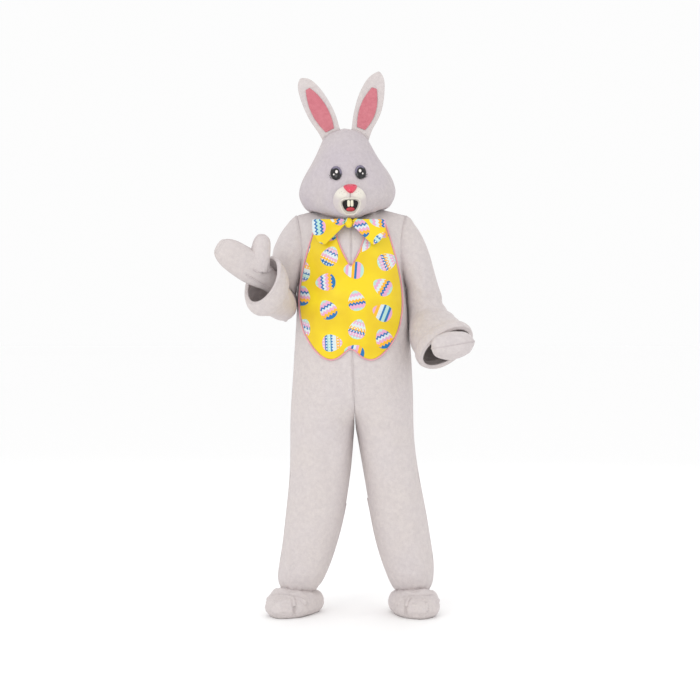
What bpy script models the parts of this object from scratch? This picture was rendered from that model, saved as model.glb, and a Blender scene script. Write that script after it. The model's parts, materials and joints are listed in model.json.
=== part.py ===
"""A plush rabbit costume as it is worn: jumpsuit, head, bow tie, vest front, mittens and foot covers.

Metres, +Z up, and the costume faces -Y, so its own left arm and leg are at +X. The tables give
heights above the floor. The frame's origin is the middle of the neck at the wearer's shoulders,
which carry the suit, so the empty "costume" holds everything that much lower.
Cloth is a wall with an outer face from a surface function and an inner face one wall behind it.
"""

import math
from bisect import bisect_right
from functools import partial

import bmesh
import bpy
from mathutils import Matrix, Vector
from mathutils.bvhtree import BVHTree

SHOULDER_HEIGHT = 1.46
ABOVE_ALL = 2.2
GAP = 0.0003
PLUSH = 0.003
HEAD_WALL = 0.006
SATIN = 0.0012
ROUNDNESS = 2.2
STEP = 1e-4
SHARP_ANGLE = math.radians(50)

# ---------------------------------------------------------------- the suit's sizes
# One row a section: height, the right leg's outer and inner side, the left leg's inner and outer
# side, and how far the section reaches forward and back. Above the crotch both inner sides are
# the centre seam.
BODY_COLUMNS = ("height", "right_out", "right_in", "left_in", "left_out", "front", "back")
BODY = (
    (0.0860, -0.258, -0.138, 0.168, 0.290, 0.070, 0.074),
    (0.100, -0.268, -0.117, 0.153, 0.302, 0.085, 0.089),
    (0.130, -0.275, -0.100, 0.139, 0.308, 0.096, 0.099),
    (0.186, -0.266, -0.075, 0.116, 0.310, 0.102, 0.104),
    (0.235, -0.257, -0.060, 0.100, 0.301, 0.104, 0.106),
    (0.325, -0.247, -0.032, 0.079, 0.289, 0.107, 0.110),
    (0.419, -0.238, -0.017, 0.064, 0.271, 0.110, 0.115),
    (0.494, -0.228, -0.004, 0.051, 0.256, 0.113, 0.120),
    (0.588, -0.226, 0.005, 0.036, 0.240, 0.120, 0.130),
    (0.674, -0.226, 0.011, 0.020, 0.233, 0.130, 0.145),
    (0.715, -0.226, 0.014, 0.014, 0.232, 0.138, 0.152),
    (0.794, -0.222, 0.012, 0.012, 0.231, 0.152, 0.163),
    (0.880, -0.216, 0.008, 0.008, 0.228, 0.163, 0.166),
    (1.019, -0.208, 0.003, 0.003, 0.220, 0.170, 0.157),
    (1.120, -0.202, 0.000, 0.000, 0.210, 0.169, 0.149),
    (1.220, -0.199, 0.000, 0.000, 0.203, 0.160, 0.142),
)
HEM_HEIGHT = BODY[0][0]
UNDERARM_HEIGHT = BODY[-1][0]
CROTCH_HEIGHT = 0.715
RISE = 0.11
SHOULDER_X = 0.205
SHOULDER_Z = 1.482
NECK_HALF_WIDTH = 0.088
NECK_SIDE_Z = 1.512
NECK = {-1: (0.092, 1.466), 1: (0.078, 1.496)}
ARMHOLE_DEPTH = {-1: 0.086, 1: 0.080}
ARMHOLE_CURVE = 0.020
SHOULDER_SHARE = 0.5
LEG_ROWS = (
    0.0, 0.016, 0.044, 0.088, 0.16, 0.24, 0.32, 0.40, 0.48, 0.53, 0.565, 0.60, 0.64, 0.70,
    0.78, 0.86, 0.93, 1.0,
)
ARM_ROWS = 8
PANEL_COLUMNS = 8
# How the panel swells out between the armhole's foot and the shoulder, as powers of a half wave.
ARCH_POWER = 0.75
FALL_POWERS = (2.6, 0.5)
ZIP_BOTTOM = 0.93
ZIP_RUN = 0.03
ZIP_HALF_GAP = 0.0065

# ---------------------------------------------------------------- the sleeves' sizes
# One row a section, from the armhole down: the points of the section nearest the body, farthest
# from it and at the front of the arm, which is the top of the forearm. The last row is the cuff's rim.
SLEEVE_COLUMNS = ("near", "far", "front")
SLEEVES = {
    "left": (
        ((0.203, 0.000, 1.220), (0.205, 0.000, 1.482), (0.204, -0.083, 1.351)),
        ((0.2085, 0.000, 1.2165), (0.246, 0.000, 1.446), (0.226, -0.089, 1.325)),
        ((0.2090, 0.000, 1.205), (0.275, 0.000, 1.385), (0.246, -0.088, 1.292)),
        ((0.2102, 0.000, 1.183), (0.300, 0.004, 1.306), (0.260, -0.083, 1.247)),
        ((0.2130, -0.002, 1.148), (0.324, 0.010, 1.224), (0.273, -0.076, 1.192)),
        ((0.2160, -0.004, 1.108), (0.343, 0.010, 1.155), (0.283, -0.070, 1.145)),
        ((0.2170, -0.030, 1.068), (0.362, -0.004, 1.105), (0.291, -0.095, 1.128)),
        ((0.2180, -0.068, 1.028), (0.393, -0.045, 1.083), (0.302, -0.130, 1.115)),
        ((0.2240, -0.112, 0.998), (0.410, -0.090, 1.058), (0.320, -0.175, 1.095)),
        ((0.243, -0.158, 0.980), (0.420, -0.140, 1.040), (0.340, -0.222, 1.075)),
        ((0.2615, -0.200, 0.9635), (0.4285, -0.190, 1.0215), (0.3595, -0.265, 1.054)),
    ),
    "right": (
        ((-0.199, 0.000, 1.220), (-0.205, 0.000, 1.482), (-0.202, -0.083, 1.351)),
        ((-0.2045, 0.000, 1.2165), (-0.246, 0.000, 1.447), (-0.224, -0.089, 1.325)),
        ((-0.2048, 0.003, 1.204), (-0.280, -0.003, 1.390), (-0.244, -0.088, 1.290)),
        ((-0.2058, 0.006, 1.186), (-0.296, 0.000, 1.325), (-0.254, -0.080, 1.256)),
        ((-0.2060, -0.005, 1.200), (-0.2955, 0.010, 1.245), (-0.267, -0.0623, 1.226)),
        ((-0.2080, -0.024, 1.165), (-0.299, -0.001, 1.182), (-0.268, -0.0642, 1.2121)),
        ((-0.2015, -0.072, 1.140), (-0.303, -0.040, 1.150), (-0.252, -0.075, 1.2085)),
        ((-0.2120, -0.118, 1.160), (-0.336, -0.075, 1.162), (-0.268, -0.078, 1.2110)),
        ((-0.225, -0.168, 1.176), (-0.354, -0.097, 1.176), (-0.280, -0.110, 1.2420)),
        ((-0.237, -0.213, 1.198), (-0.373, -0.117, 1.198), (-0.289, -0.143, 1.279)),
        ((-0.270, -0.268, 1.237), (-0.372, -0.132, 1.237), (-0.295, -0.180, 1.3185)),
    ),
}
CUFF_ROW = 9
SLEEVE_STEP = 0.75
ARMHOLE_BLEND = 2.0
ARMHOLE_MIDDLE = (0.300, 1.350)
HOLE_STEP = 0.05
SLEEVE_SEAM = 0.0005
CUFF_WALL = 0.013
CUFF_BULGE = 0.006
CUFF_SEAM = 0.0010
CUFF_RINGS = 4

# ---------------------------------------------------------------- the head's sizes
# One row a ring: height, half width, reach forward and back, and how much higher the ring runs
# at its sides, where the head sits on the shoulders.
HEAD_COLUMNS = ("height", "half_width", "front", "back", "side_lift")
HEAD = (
    (1.472, 0.103, 0.128, 0.112, 0.060),
    (1.464, 0.118, 0.142, 0.126, 0.053),
    (1.472, 0.134, 0.154, 0.140, 0.034),
    (1.492, 0.147, 0.162, 0.150, 0.015),
    (1.520, 0.163, 0.166, 0.160, 0.003),
    (1.552, 0.177, 0.167, 0.166, 0.000),
    (1.582, 0.180, 0.165, 0.170, 0.000),
    (1.616, 0.170, 0.158, 0.170, 0.000),
    (1.652, 0.149, 0.146, 0.164, 0.000),
    (1.692, 0.1225, 0.130, 0.152, 0.000),
    (1.732, 0.101, 0.112, 0.132, 0.000),
    (1.766, 0.086, 0.092, 0.108, 0.000),
    (1.795, 0.058, 0.062, 0.074, 0.000),
    (1.8126, 0.000, 0.000, 0.000, 0.000),
)
HEAD_BASE = 1.48
HEAD_SEAT = 0.0013
HEAD_X = -0.010
HEAD_TURN = math.radians(2.5)
HEAD_LEAN = math.radians(-2.5)
HEAD_HALF_COLUMNS = 14
HEAD_ROUNDNESS = 2.1
HEAD_EXTRA_ROWS = (3.5, 4.5, 5.5, 11.5, 12.4, 12.75)
SNOUT_REACH = 0.030
SNOUT_SPREAD = (0.060, 0.052)

# Padded patches of the face: their middle, half sizes, thickness in the middle and at the edge,
# and how far each lies off what is under it.
PATCH_COLUMNS = ("x", "z", "half_width", "half_height", "height", "edge", "lift")
PATCHES = {
    "muzzle": (0.0, 1.530, 0.062, 0.056, 0.003, 0.0015, 0.0022),
    "eye": (0.0453, 1.634, 0.0215, 0.0275, 0.009, 0.003, 0.0013),
    "nose": (0.004, 1.572, 0.0335, 0.0185, 0.017, 0.004, 0.0034),
    "mouth": (0.0, 1.509, 0.0355, 0.0215, 0.0015, 0.0012, 0.0054),
    "tooth": (0.0060, 1.5172, 0.0053, 0.0118, 0.0035, 0.002, 0.0007),
    "tongue": (0.0, 1.4960, 0.0160, 0.0074, 0.004, 0.0015, 0.0007),
}
LIP_RADIUS = 0.0025
LIP_GAP = 0.0018
LIP_POINTS = 28
LIP_SIDES = 8
PATCH_GRID = (3, 14)
MUZZLE_GRID = (6, 22)

# Ears: one row a section of the middle line, from the crown to the tip: x, height, half width.
EAR_COLUMNS = ("x", "height", "half_width")
EARS = {
    "left": (
        (0.0335, 1.800, 0.034), (0.048, 1.838, 0.043), (0.063, 1.882, 0.0490),
        (0.077, 1.930, 0.0485), (0.092, 1.980, 0.036), (0.101, 2.010, 0.021),
        (0.1046, 2.026, 0.004),
    ),
    "right": (
        (-0.074, 1.792, 0.036), (-0.095, 1.834, 0.045), (-0.122, 1.884, 0.0485),
        (-0.148, 1.934, 0.0435), (-0.170, 1.972, 0.031), (-0.182, 1.990, 0.019),
        (-0.188, 2.000, 0.004),
    ),
}
EAR_THICKNESS = 0.016
EAR_EDGE = 0.005
EAR_SEAT = 0.0018
EAR_CUP = 0.010
EAR_BACK_LEAN = 0.030
EAR_INNER_SHARE = 0.64
EAR_INNER_RUN = (0.045, 0.61)
EAR_INNER_TAPER = (0.18, 0.76)
EAR_INNER_POWER = 0.6
EAR_INNER_THICKNESS = 0.002
EAR_INNER_LIFT = 0.0018
EAR_ACROSS = (-1, -0.85, -0.55, -0.2, 0.2, 0.55, 0.85, 1)
EAR_ROWS = 10

# ---------------------------------------------------------------- vest front and bow tie
# Half outline of the vest: height, and half width at its side edge.
VEST_SIDE = (
    (0.940, 0.167), (1.000, 0.167), (1.049, 0.168), (1.100, 0.181), (1.156, 0.186),
    (1.215, 0.182), (1.275, 0.171), (1.342, 0.155), (1.409, 0.135), (1.440, 0.126),
)
# Its hem from the middle out: share of the half width, and height. It falls to one scallop a side.
VEST_HEM = (
    (0.00, 0.990), (0.08, 0.987), (0.19, 0.968), (0.31, 0.953), (0.45, 0.948), (0.62, 0.960),
    (0.76, 0.983), (0.88, 1.010), (1.00, 1.049),
)
VEST_ACROSS = (0.08, 0.19, 0.31, 0.45, 0.59, 0.73, 0.86, 0.95, 1.0)
VEST_X = -0.001
VEST_TOP = 1.440
VEST_V_BOTTOM = 1.285
VEST_V_SHARE = 0.52
VEST_V_POWER = 1.15
VEST_ROWS = 12
VEST_LIFT = 0.0022
PIPING_RADIUS = 0.0024
PIPING_GAP = 0.0008
PIPING_SIDES = 5

KNOT = (-0.008, 1.424)
KNOT_SIZE = (0.016, 0.014, 0.019)
BOW_LENGTH = 0.117
# A wing's top and bottom edge from the knot out: share of its length, and the two heights.
BOW_EDGES = (
    (0.00, 0.013, -0.010), (0.14, 0.014, -0.020), (0.32, 0.013, -0.047), (0.50, 0.012, -0.070),
    (0.68, 0.012, -0.083), (0.84, 0.012, -0.070), (0.94, 0.012, -0.046), (1.00, 0.011, -0.030),
)
BOW_DEPTH = 0.016
BOW_WALL = 0.0018
BOW_PLEAT = 0.0035
BOW_PLEATS = 3
BOW_ALONG = (0.0, 0.08, 0.18, 0.28, 0.38, 0.45, 0.5, 0.55, 0.62, 0.72, 0.82, 0.92, 1.0)
BOW_ROWS = 6
BOW_REACH = 0.045
BOW_SEAT = 0.0006

# ---------------------------------------------------------------- mittens and foot covers
# Along the hand, as a share of its length: half width, half thickness.
MITTEN = (
    (0.00, 0.037, 0.032), (0.12, 0.040, 0.033), (0.26, 0.050, 0.037), (0.42, 0.057, 0.040),
    (0.60, 0.057, 0.040), (0.76, 0.054, 0.037), (0.88, 0.046, 0.031), (0.96, 0.031, 0.020),
)
FIST = (
    (0.00, 0.046, 0.034), (0.14, 0.046, 0.035), (0.34, 0.054, 0.037), (0.52, 0.076, 0.046),
    (0.66, 0.081, 0.051), (0.81, 0.074, 0.047), (0.92, 0.054, 0.036), (0.98, 0.028, 0.019),
)
THUMB = (
    (0.00, 0.034, 0.028), (0.30, 0.036, 0.028), (0.58, 0.037, 0.029), (0.78, 0.034, 0.027),
    (0.91, 0.025, 0.020), (0.98, 0.012, 0.010),
)
FIST_THUMB = (
    (0.00, 0.024, 0.030), (0.30, 0.030, 0.034), (0.58, 0.032, 0.036), (0.78, 0.029, 0.033),
    (0.91, 0.021, 0.024), (0.98, 0.010, 0.012),
)
HANDS = {
    "right": {
        "wrist": (-0.2775, -0.1525, 1.222), "tip": (-0.479, -0.290, 1.362),
        "across": (0.20, -0.25, 0.95), "table": MITTEN,
        "thumb": ((-0.331, -0.212, 1.266), (-0.322, -0.222, 1.406)), "thumb_table": THUMB,
    },
    "left": {
        "wrist": (0.351, -0.168, 0.9985), "tip": (0.370, -0.372, 1.006),
        "across": (0.98, 0.00, 0.17), "table": FIST,
        "thumb": ((0.372, -0.328, 1.008), (0.287, -0.356, 0.998)), "thumb_table": FIST_THUMB,
    },
}
HAND_COLUMNS = 12
HAND_POWER = 0.9
HAND_HALF_BOX = (0.4, 0.3, 0.3)
WRIST_RUN = 0.02
# Rings of a foot cover: height, reach to the toes and to the heel, half width, toe lobes' depth.
FOOT_COLUMNS = ("height", "toe", "heel", "half_width", "lobe")
FOOT = (
    (0.0036, 0.170, 0.090, 0.074, 0.10),
    (0.018, 0.190, 0.102, 0.088, 0.12),
    (0.040, 0.194, 0.105, 0.091, 0.12),
    (0.063, 0.172, 0.099, 0.082, 0.09),
    (0.075, 0.116, 0.082, 0.064, 0.04),
    (0.083, 0.064, 0.062, 0.050, 0.01),
    (0.096, 0.050, 0.050, 0.044, 0.00),
    (0.122, 0.048, 0.048, 0.042, 0.00),
)
FEET = {"left": ((0.229, -0.006), math.radians(10)), "right": ((-0.198, -0.004), math.radians(-24))}
FOOT_ROUND = 24
FOOT_EXTRA_ROWS = (3.5,)
FOOT_POWER = 0.85
TOE_SPREAD = 0.10
TOE_LOBES = 6
SOLE_THICKNESS = 0.003
SOLE_INSET = 0.0005

# ---------------------------------------------------------------- the back zip's hardware
TAPE_HALF_WIDTH = 0.014
TAPE_THICKNESS = 0.0012
TAPE_LIFT = 0.0018
ZIP_ROWS = 12
ZIP_TOP = 1.86
SLIDER_ROW = 1.70
SLIDER = (0.0105, 0.0030, 0.0150)
SLIDER_LIFT = 0.0005
BRIDGE = 0.0015
BRIDGE_HALF = 0.0048
TAB_LENGTH = 0.034
TAB_WIDTH = 0.0080
TAB_THICKNESS = 0.0014
TAB_PLAY = 0.0004


# ================================================================ small tools
def smooth(xs, ys, x):
    """The value at x of the smooth curve through (xs, ys), which runs straight past its ends."""
    k = min(max(bisect_right(xs, x) - 1, 0), len(xs) - 2)

    def slope(i):
        low, high = max(i - 1, 0), min(i + 1, len(xs) - 1)
        return (ys[high] - ys[low]) / (xs[high] - xs[low])

    span = xs[k + 1] - xs[k]
    share = (x - xs[k]) / span
    if share < 0:
        return ys[0] + slope(0) * (x - xs[0])
    if share > 1:
        return ys[-1] + slope(len(xs) - 1) * (x - xs[-1])
    square, cube = share * share, share**3
    return (
        ys[k] * (2 * cube - 3 * square + 1)
        + ys[k + 1] * (3 * square - 2 * cube)
        + span * slope(k) * (cube - 2 * square + share)
        + span * slope(k + 1) * (cube - square)
    )


def column(table, names, name, x):
    """A named column of a table at x, which is measured in the table's first column."""
    at = names.index(name)
    return smooth([row[0] for row in table], [row[at] for row in table], x)


def power(value, exponent):
    """The power of a number's size, with the number's own sign."""
    return math.copysign(abs(value) ** exponent, value)


def blend(a, b, share):
    return a + (b - a) * share


def material(name, colour, roughness, metallic=0.0):
    made = bpy.data.materials.new(name)
    made.use_nodes = True
    shader = made.node_tree.nodes["Principled BSDF"]
    shader.inputs["Base Color"].default_value = (*colour, 1.0)
    shader.inputs["Roughness"].default_value = roughness
    shader.inputs["Metallic"].default_value = metallic
    return made


def add_object(name, bm, finish, parent):
    """One named piece from a bmesh, smooth but for its sharp edges."""
    bmesh.ops.recalc_face_normals(bm, faces=bm.faces)
    mesh = bpy.data.meshes.new(name)
    bm.to_mesh(mesh)
    bm.free()
    mesh.materials.append(finish)
    mesh.shade_smooth()
    mesh.set_sharp_from_angle(angle=SHARP_ANGLE)
    piece = bpy.data.objects.new(name, mesh)
    bpy.context.scene.collection.objects.link(piece)
    piece.parent = parent
    return piece


def add_holder(name, parent):
    """An empty that places the pieces under it."""
    holder = bpy.data.objects.new(name, None)
    bpy.context.scene.collection.objects.link(holder)
    holder.parent = parent
    return holder


def normal_at(surface, u, v):
    """The surface's unit normal, along its u direction times its v direction."""
    along_u = surface(u + STEP, v) - surface(u - STEP, v)
    along_v = surface(u, v) - surface(u, v - STEP)
    return along_u.cross(along_v).normalized()


def grid_faces(bm, rows, ring, turned):
    """The quads between rows of vertices; a ring closes each row on itself."""
    for low, high in zip(rows, rows[1:]):
        for i in range(len(low) if ring else len(low) - 1):
            j = (i + 1) % len(low)
            corners = [low[i], low[j], high[j], high[i]]
            corners = [c for k, c in enumerate(corners) if c is not corners[k - 1]]
            bm.faces.new(corners[::-1] if turned else corners)


def wall(name, outer, inner, finish, parent, ring=False, tip=False):
    """A closed wall between two grids of points. With a tip, the last row is one point."""
    bm = bmesh.new()
    sides = []
    for grid in (outer, inner):
        rows = [[bm.verts.new(p) for p in row] for row in (grid[:-1] if tip else grid)]
        if tip:
            end = bm.verts.new(grid[-1][0])
            rows.append([end] * len(rows[0]))
        sides.append(rows)
    grid_faces(bm, sides[0], ring, False)
    grid_faces(bm, sides[1], ring, True)
    grid_faces(bm, [sides[0][0], sides[1][0]], ring, True)
    if not tip:
        grid_faces(bm, [sides[0][-1], sides[1][-1]], ring, False)
    if not ring:
        for end in (0, -1):
            edges = [[row[end] for row in rows] for rows in sides]
            grid_faces(bm, edges, False, end == -1)
    return add_object(name, bm, finish, parent)


def shell(
    name, surface, us, vs, thickness, facing, finish, parent, ring=False, tip=False,
    normal=normal_at,
):
    """A cloth wall behind surface(u, v); facing is 1 where u times v points out, or -1."""
    outer = [[surface(u, v) for u in us] for v in vs]
    inner = [
        [p - normal(surface, u, v) * facing * thickness for u, p in zip(us, row)]
        for v, row in zip(vs[:-1] if tip else vs, outer)
    ]
    if tip:
        inward = sum(inner[-1], Vector()) / len(us) - outer[-1][0]
        inner.append([outer[-1][0] + inward.normalized() * thickness] * len(us))
    return wall(name, outer, inner, finish, parent, ring, tip)


def find(surface, x, z, guess):
    """The (u, v) at which a surface passes through that x and z, by Newton's method."""
    u, v = guess
    for _ in range(12):
        here = surface(u, v)
        along_u = (surface(u + STEP, v) - here) / STEP
        along_v = (surface(u, v + STEP) - here) / STEP
        size = along_u.x * along_v.z - along_v.x * along_u.z
        miss_x, miss_z = x - here.x, z - here.z
        u += (miss_x * along_v.z - along_v.x * miss_z) / size
        v += (along_u.x * miss_z - miss_x * along_u.z) / size
    return u, v


def world_tree(pieces):
    """One search tree of several pieces' faces, in world space, and their points."""
    points, faces = [], []
    for piece in pieces:
        first = len(points)
        points += [piece.matrix_world @ v.co for v in piece.data.vertices]
        faces += [[first + i for i in face.vertices] for face in piece.data.polygons]
    return BVHTree.FromPolygons(points, faces), points


def seat(moved, carriers, direction, holder, gap, most=0.06):
    """Slides pieces, by their holder's place, until this gap is left to what carries them."""
    bpy.context.view_layer.update()
    direction = Vector(direction).normalized()
    moved_tree, moved_points = world_tree(moved)
    carrier_tree, carrier_points = world_tree(carriers)
    nearest = most
    for tree, points, way in (
        (carrier_tree, moved_points, direction),
        (moved_tree, carrier_points, -direction),
    ):
        for point in points:
            hit = tree.ray_cast(point - way * most, way, 2 * most)
            if hit[0] is not None:
                nearest = min(nearest, hit[3] - most)
    holder.location += direction * (nearest - gap)
    bpy.context.view_layer.update()


def combine(piece, other, operation):
    """Applies a Boolean with another piece, which is then removed."""
    step = piece.modifiers.new(operation.lower(), "BOOLEAN")
    step.operation = operation
    step.object = other
    bpy.context.view_layer.update()
    graph = bpy.context.evaluated_depsgraph_get()
    result = bpy.data.meshes.new_from_object(piece.evaluated_get(graph))
    piece.modifiers.remove(step)
    piece.data = result
    bpy.data.objects.remove(other)


# ================================================================ the jumpsuit
def body_row(height):
    """Every column of the body's table at a height."""
    return {name: column(BODY, BODY_COLUMNS, name, height) for name in BODY_COLUMNS[1:]}


def zip_opening(height):
    """How open the back seam is at a height, from 0 below the zip to 1 along it."""
    share = min(max((height - ZIP_BOTTOM) / ZIP_RUN, 0.0), 1.0)
    return share * share * (3 - 2 * share)


def lower_point(side, face, s, height):
    """A point of the suit below the armholes, from the side seam, s 0, to the inner seam, s 1."""
    row = body_row(height)
    arm = "left" if side > 0 else "right"
    out, inner = row[arm + "_out"], row[arm + "_in"]
    if height >= CROTCH_HEIGHT:
        inner = (row["left_in"] + row["right_in"]) / 2
    merge = min(max((height - CROTCH_HEIGHT) / RISE, 0.0), 1.0)
    share = 1 - merge
    half = abs(out - inner) / (1 + share)
    centre = out - side * half
    last = math.acos(-(share ** (ROUNDNESS / 2)))
    angle = s * last
    depth = row["front"] if face < 0 else row["back"]
    x = centre + side * half * power(math.cos(angle), 2 / ROUNDNESS)
    y = face * depth * power(math.sin(angle), 2 / ROUNDNESS)
    return Vector((x, y, height))


def top_point(side, face, s):
    """The suit's upper edge: the shoulder seam, then the neckline from the seam to the centre."""
    depth, middle_z = NECK[face]
    if s <= SHOULDER_SHARE:
        share = s / SHOULDER_SHARE
        x = blend(SHOULDER_X, NECK_HALF_WIDTH, share)
        return Vector((side * x, 0.0, blend(SHOULDER_Z, NECK_SIDE_Z, share)))
    angle = (s - SHOULDER_SHARE) / (1 - SHOULDER_SHARE) * math.pi / 2
    sine = math.sin(angle)
    x = NECK_HALF_WIDTH * math.cos(angle)
    return Vector((side * x, face * depth * sine, blend(NECK_SIDE_Z, middle_z, sine * sine)))


def upper_point(side, face, s, v):
    """A point of the suit between the armhole's foot, v 0, and the shoulder and neckline, v 1."""
    low, high = lower_point(side, face, s, UNDERARM_HEIGHT), top_point(side, face, s)
    full = lower_point(side, face, 1.0, UNDERARM_HEIGHT).y
    arch = power(math.sin(math.pi * min(max(v, 0.0), 1.0)), ARCH_POWER)
    fall = power(1 - v ** FALL_POWERS[0], FALL_POWERS[1]) if v > 0 else 1.0
    y = high.y + (low.y - high.y) * fall
    y += face * ARMHOLE_DEPTH[face] * (1 - low.y / full) * arch
    x = blend(low.x, high.x, v) - side * ARMHOLE_CURVE * (1 - s) * arch
    return Vector((x, y, blend(low.z, high.z, v)))


def suit_point(side, face, s, t):
    """The suit's outer face: t runs from the hem, 0, to the armhole's foot, 1, and on to 2."""
    if t <= 1:
        height = blend(HEM_HEIGHT, UNDERARM_HEIGHT, t)
        point = lower_point(side, face, s, height)
    else:
        point = upper_point(side, face, s, t - 1)
    opening = ZIP_HALF_GAP * zip_opening(point.z) * s * s if face > 0 else 0.0
    return point + Vector((side * (GAP / 2 + opening), face * GAP / 2, 0))


def suit_side(side, face):
    return lambda s, t: suit_point(side, face, s, t)


def arm_row(j):
    """The share of the armhole's height at its j-th row, spaced as round a circle."""
    return (1 - math.cos(math.pi * j / ARM_ROWS)) / 2


def suit_rows():
    return list(LEG_ROWS) + [1 + arm_row(j) for j in range(1, ARM_ROWS + 1)]


def suit_normal(surface, s, t):
    """The suit's normal, kept in the seam's own plane along a seam."""
    normal = normal_at(surface, s, t)
    if s == 1.0:
        below = blend(HEM_HEIGHT, UNDERARM_HEIGHT, t) < CROTCH_HEIGHT
        normal = Vector((normal.x, 0, normal.z)) if below else Vector((0, normal.y, normal.z))
    elif t == 2.0 and s <= SHOULDER_SHARE:
        normal.y = 0.0
    return normal.normalized()


def build_suit(plush, costume):
    panels = {}
    across = [i / PANEL_COLUMNS for i in range(PANEL_COLUMNS + 1)]
    for side, side_name in ((1, "left"), (-1, "right")):
        for face, face_name in ((-1, "front"), (1, "back")):
            name = f"suit_{face_name}_{side_name}"
            facing = -side * face
            panels[name] = shell(
                name, suit_side(side, face), across, suit_rows(), PLUSH, -facing, plush, costume,
                normal=suit_normal,
            )
    return panels


# ================================================================ sleeves and cuffs
def sleeve_ring(arm, t):
    """The section of a sleeve t rows from the armhole: its middle and its two half axes."""
    table = SLEEVES[arm]
    rows = list(range(len(table)))
    near, far, front = (
        Vector([smooth(rows, [row[i][k] for row in table], t) for k in range(3)])
        for i in range(len(SLEEVE_COLUMNS))
    )
    middle = (near + far) / 2
    return middle, far - middle, front - middle


def armhole_frame(side, angle):
    """The suit's edge at an angle round the armhole from its foot: outer and inner point."""
    face = -1 if math.sin(angle) > 0 else 1
    v = (1 - math.cos(angle)) / 2
    surface = suit_side(side, face)
    outer = surface(0.0, 1 + v)
    inner = outer + normal_at(surface, 0.0, 1 + v) * side * face * PLUSH
    if abs(math.sin(angle)) < 1e-6:
        outer.y = inner.y = 0.0
    return outer, inner


def ellipse_point(arm, angle, t):
    middle, across, forward = sleeve_ring(arm, t)
    return middle - across * math.cos(angle) + forward * math.sin(angle)


def sleeve_point(arm, angle, t):
    """A sleeve's outer face: it starts round the armhole and turns into its own sections."""
    point = ellipse_point(arm, angle, t)
    if t < ARMHOLE_BLEND:
        side = 1 if arm == "left" else -1
        share = 1 - max(t, 0.0) / ARMHOLE_BLEND
        root = armhole_frame(side, angle)[0] - ellipse_point(arm, angle, 0.0)
        point += root * share * share * (3 - 2 * share)
    return point


def cuff_point(arm, angle, t):
    """The cuff's outer face, which bulges between its seam and its rim."""
    share = t - CUFF_ROW
    middle = sleeve_ring(arm, t)[0]
    point = ellipse_point(arm, angle, t)
    swell = CUFF_BULGE * math.sin(math.pi * min(max(share, 0.0), 1.0)) ** 2
    return point + (point - middle).normalized() * swell


def ring_angles(count):
    return [2 * math.pi * i / count for i in range(count)]


def build_sleeves(plush, costume):
    made = {}
    angles = ring_angles(2 * ARM_ROWS)
    for side, arm in ((1, "left"), (-1, "right")):
        surface = partial(sleeve_point, arm)
        # Round the section and down the arm, the normal points out on the left arm only.
        outer, inner = [], []
        for angle in angles:
            edge, lining = armhole_frame(side, angle)
            ahead, behind = (armhole_frame(side, angle + turn)[0] for turn in (HOLE_STEP, -HOLE_STEP))
            away = (ahead - behind).cross(edge - lining).normalized()
            inside = Vector((side * ARMHOLE_MIDDLE[0], 0, ARMHOLE_MIDDLE[1])) - edge
            step = away * math.copysign(SLEEVE_SEAM, away.dot(inside))
            outer.append(edge + step)
            inner.append(lining + step)
        outer, inner = [outer], [inner]
        for i in range(int(CUFF_ROW / SLEEVE_STEP)):
            t = SLEEVE_STEP * (i + 1)
            outer.append([surface(angle, t) for angle in angles])
            inner.append(
                [
                    p - normal_at(surface, angle, t) * side * PLUSH
                    for angle, p in zip(angles, outer[-1])
                ]
            )
        for i, angle in enumerate(angles):
            along = surface(angle, CUFF_ROW) - surface(angle, CUFF_ROW - STEP)
            outer[-1][i] = outer[-1][i] - along.normalized() * CUFF_SEAM
            inner[-1][i] = inner[-1][i] - along.normalized() * CUFF_SEAM
        made[f"sleeve_{arm}"] = wall(f"sleeve_{arm}", outer, inner, plush, costume, ring=True)
        rows = [CUFF_ROW + i / CUFF_RINGS for i in range(CUFF_RINGS + 1)]
        made[f"cuff_{arm}"] = shell(
            f"cuff_{arm}", partial(cuff_point, arm), angles, rows, CUFF_WALL, side, plush,
            costume, ring=True,
        )
    return made


# ================================================================ the head
def head_point(angle, t):
    """The head's outer face: round from its left side over its front, from its rim to its crown."""
    rows = list(range(len(HEAD)))
    height, half, front, back, lift = (
        smooth(rows, [row[k] for row in HEAD], t) for k in range(len(HEAD_COLUMNS))
    )
    half, front, back = max(half, 0.0), max(front, 0.0), max(back, 0.0)
    cosine, sine = math.cos(angle), math.sin(angle)
    x = half * power(cosine, 2 / HEAD_ROUNDNESS)
    y = -(front if sine > 0 else back) * power(sine, 2 / HEAD_ROUNDNESS)
    z = height + lift * cosine * cosine
    rise = z - patch_size("muzzle")["z"]
    near = math.exp(-((x / SNOUT_SPREAD[0]) ** 2) - (rise / SNOUT_SPREAD[1]) ** 2)
    return Vector((x, y - SNOUT_REACH * near * max(sine, 0.0), z))


def half_head(face):
    """The front or back half, half a seam gap off the middle."""
    return lambda angle, t: head_point(angle, t) + Vector((0, face * GAP / 2, 0))


def build_head(plush, holder):
    rows = sorted([*range(len(HEAD)), *HEAD_EXTRA_ROWS])
    front = [math.pi * i / HEAD_HALF_COLUMNS for i in range(HEAD_HALF_COLUMNS + 1)]
    back = [math.pi + math.pi * i / (HEAD_HALF_COLUMNS - 2) for i in range(HEAD_HALF_COLUMNS - 1)]
    made = {}
    for name, face, angles in (("head_front", -1, front), ("head_back", 1, back)):
        made[name] = shell(
            name, half_head(face), angles, rows, HEAD_WALL, -1, plush, holder, tip=True
        )
    return made


def local_tree(pieces):
    """A search tree of pieces in their holder's frame."""
    points, faces = [], []
    for piece in pieces:
        first = len(points)
        points += [v.co.copy() for v in piece.data.vertices]
        faces += [[first + i for i in face.vertices] for face in piece.data.polygons]
    return BVHTree.FromPolygons(points, faces)


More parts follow.
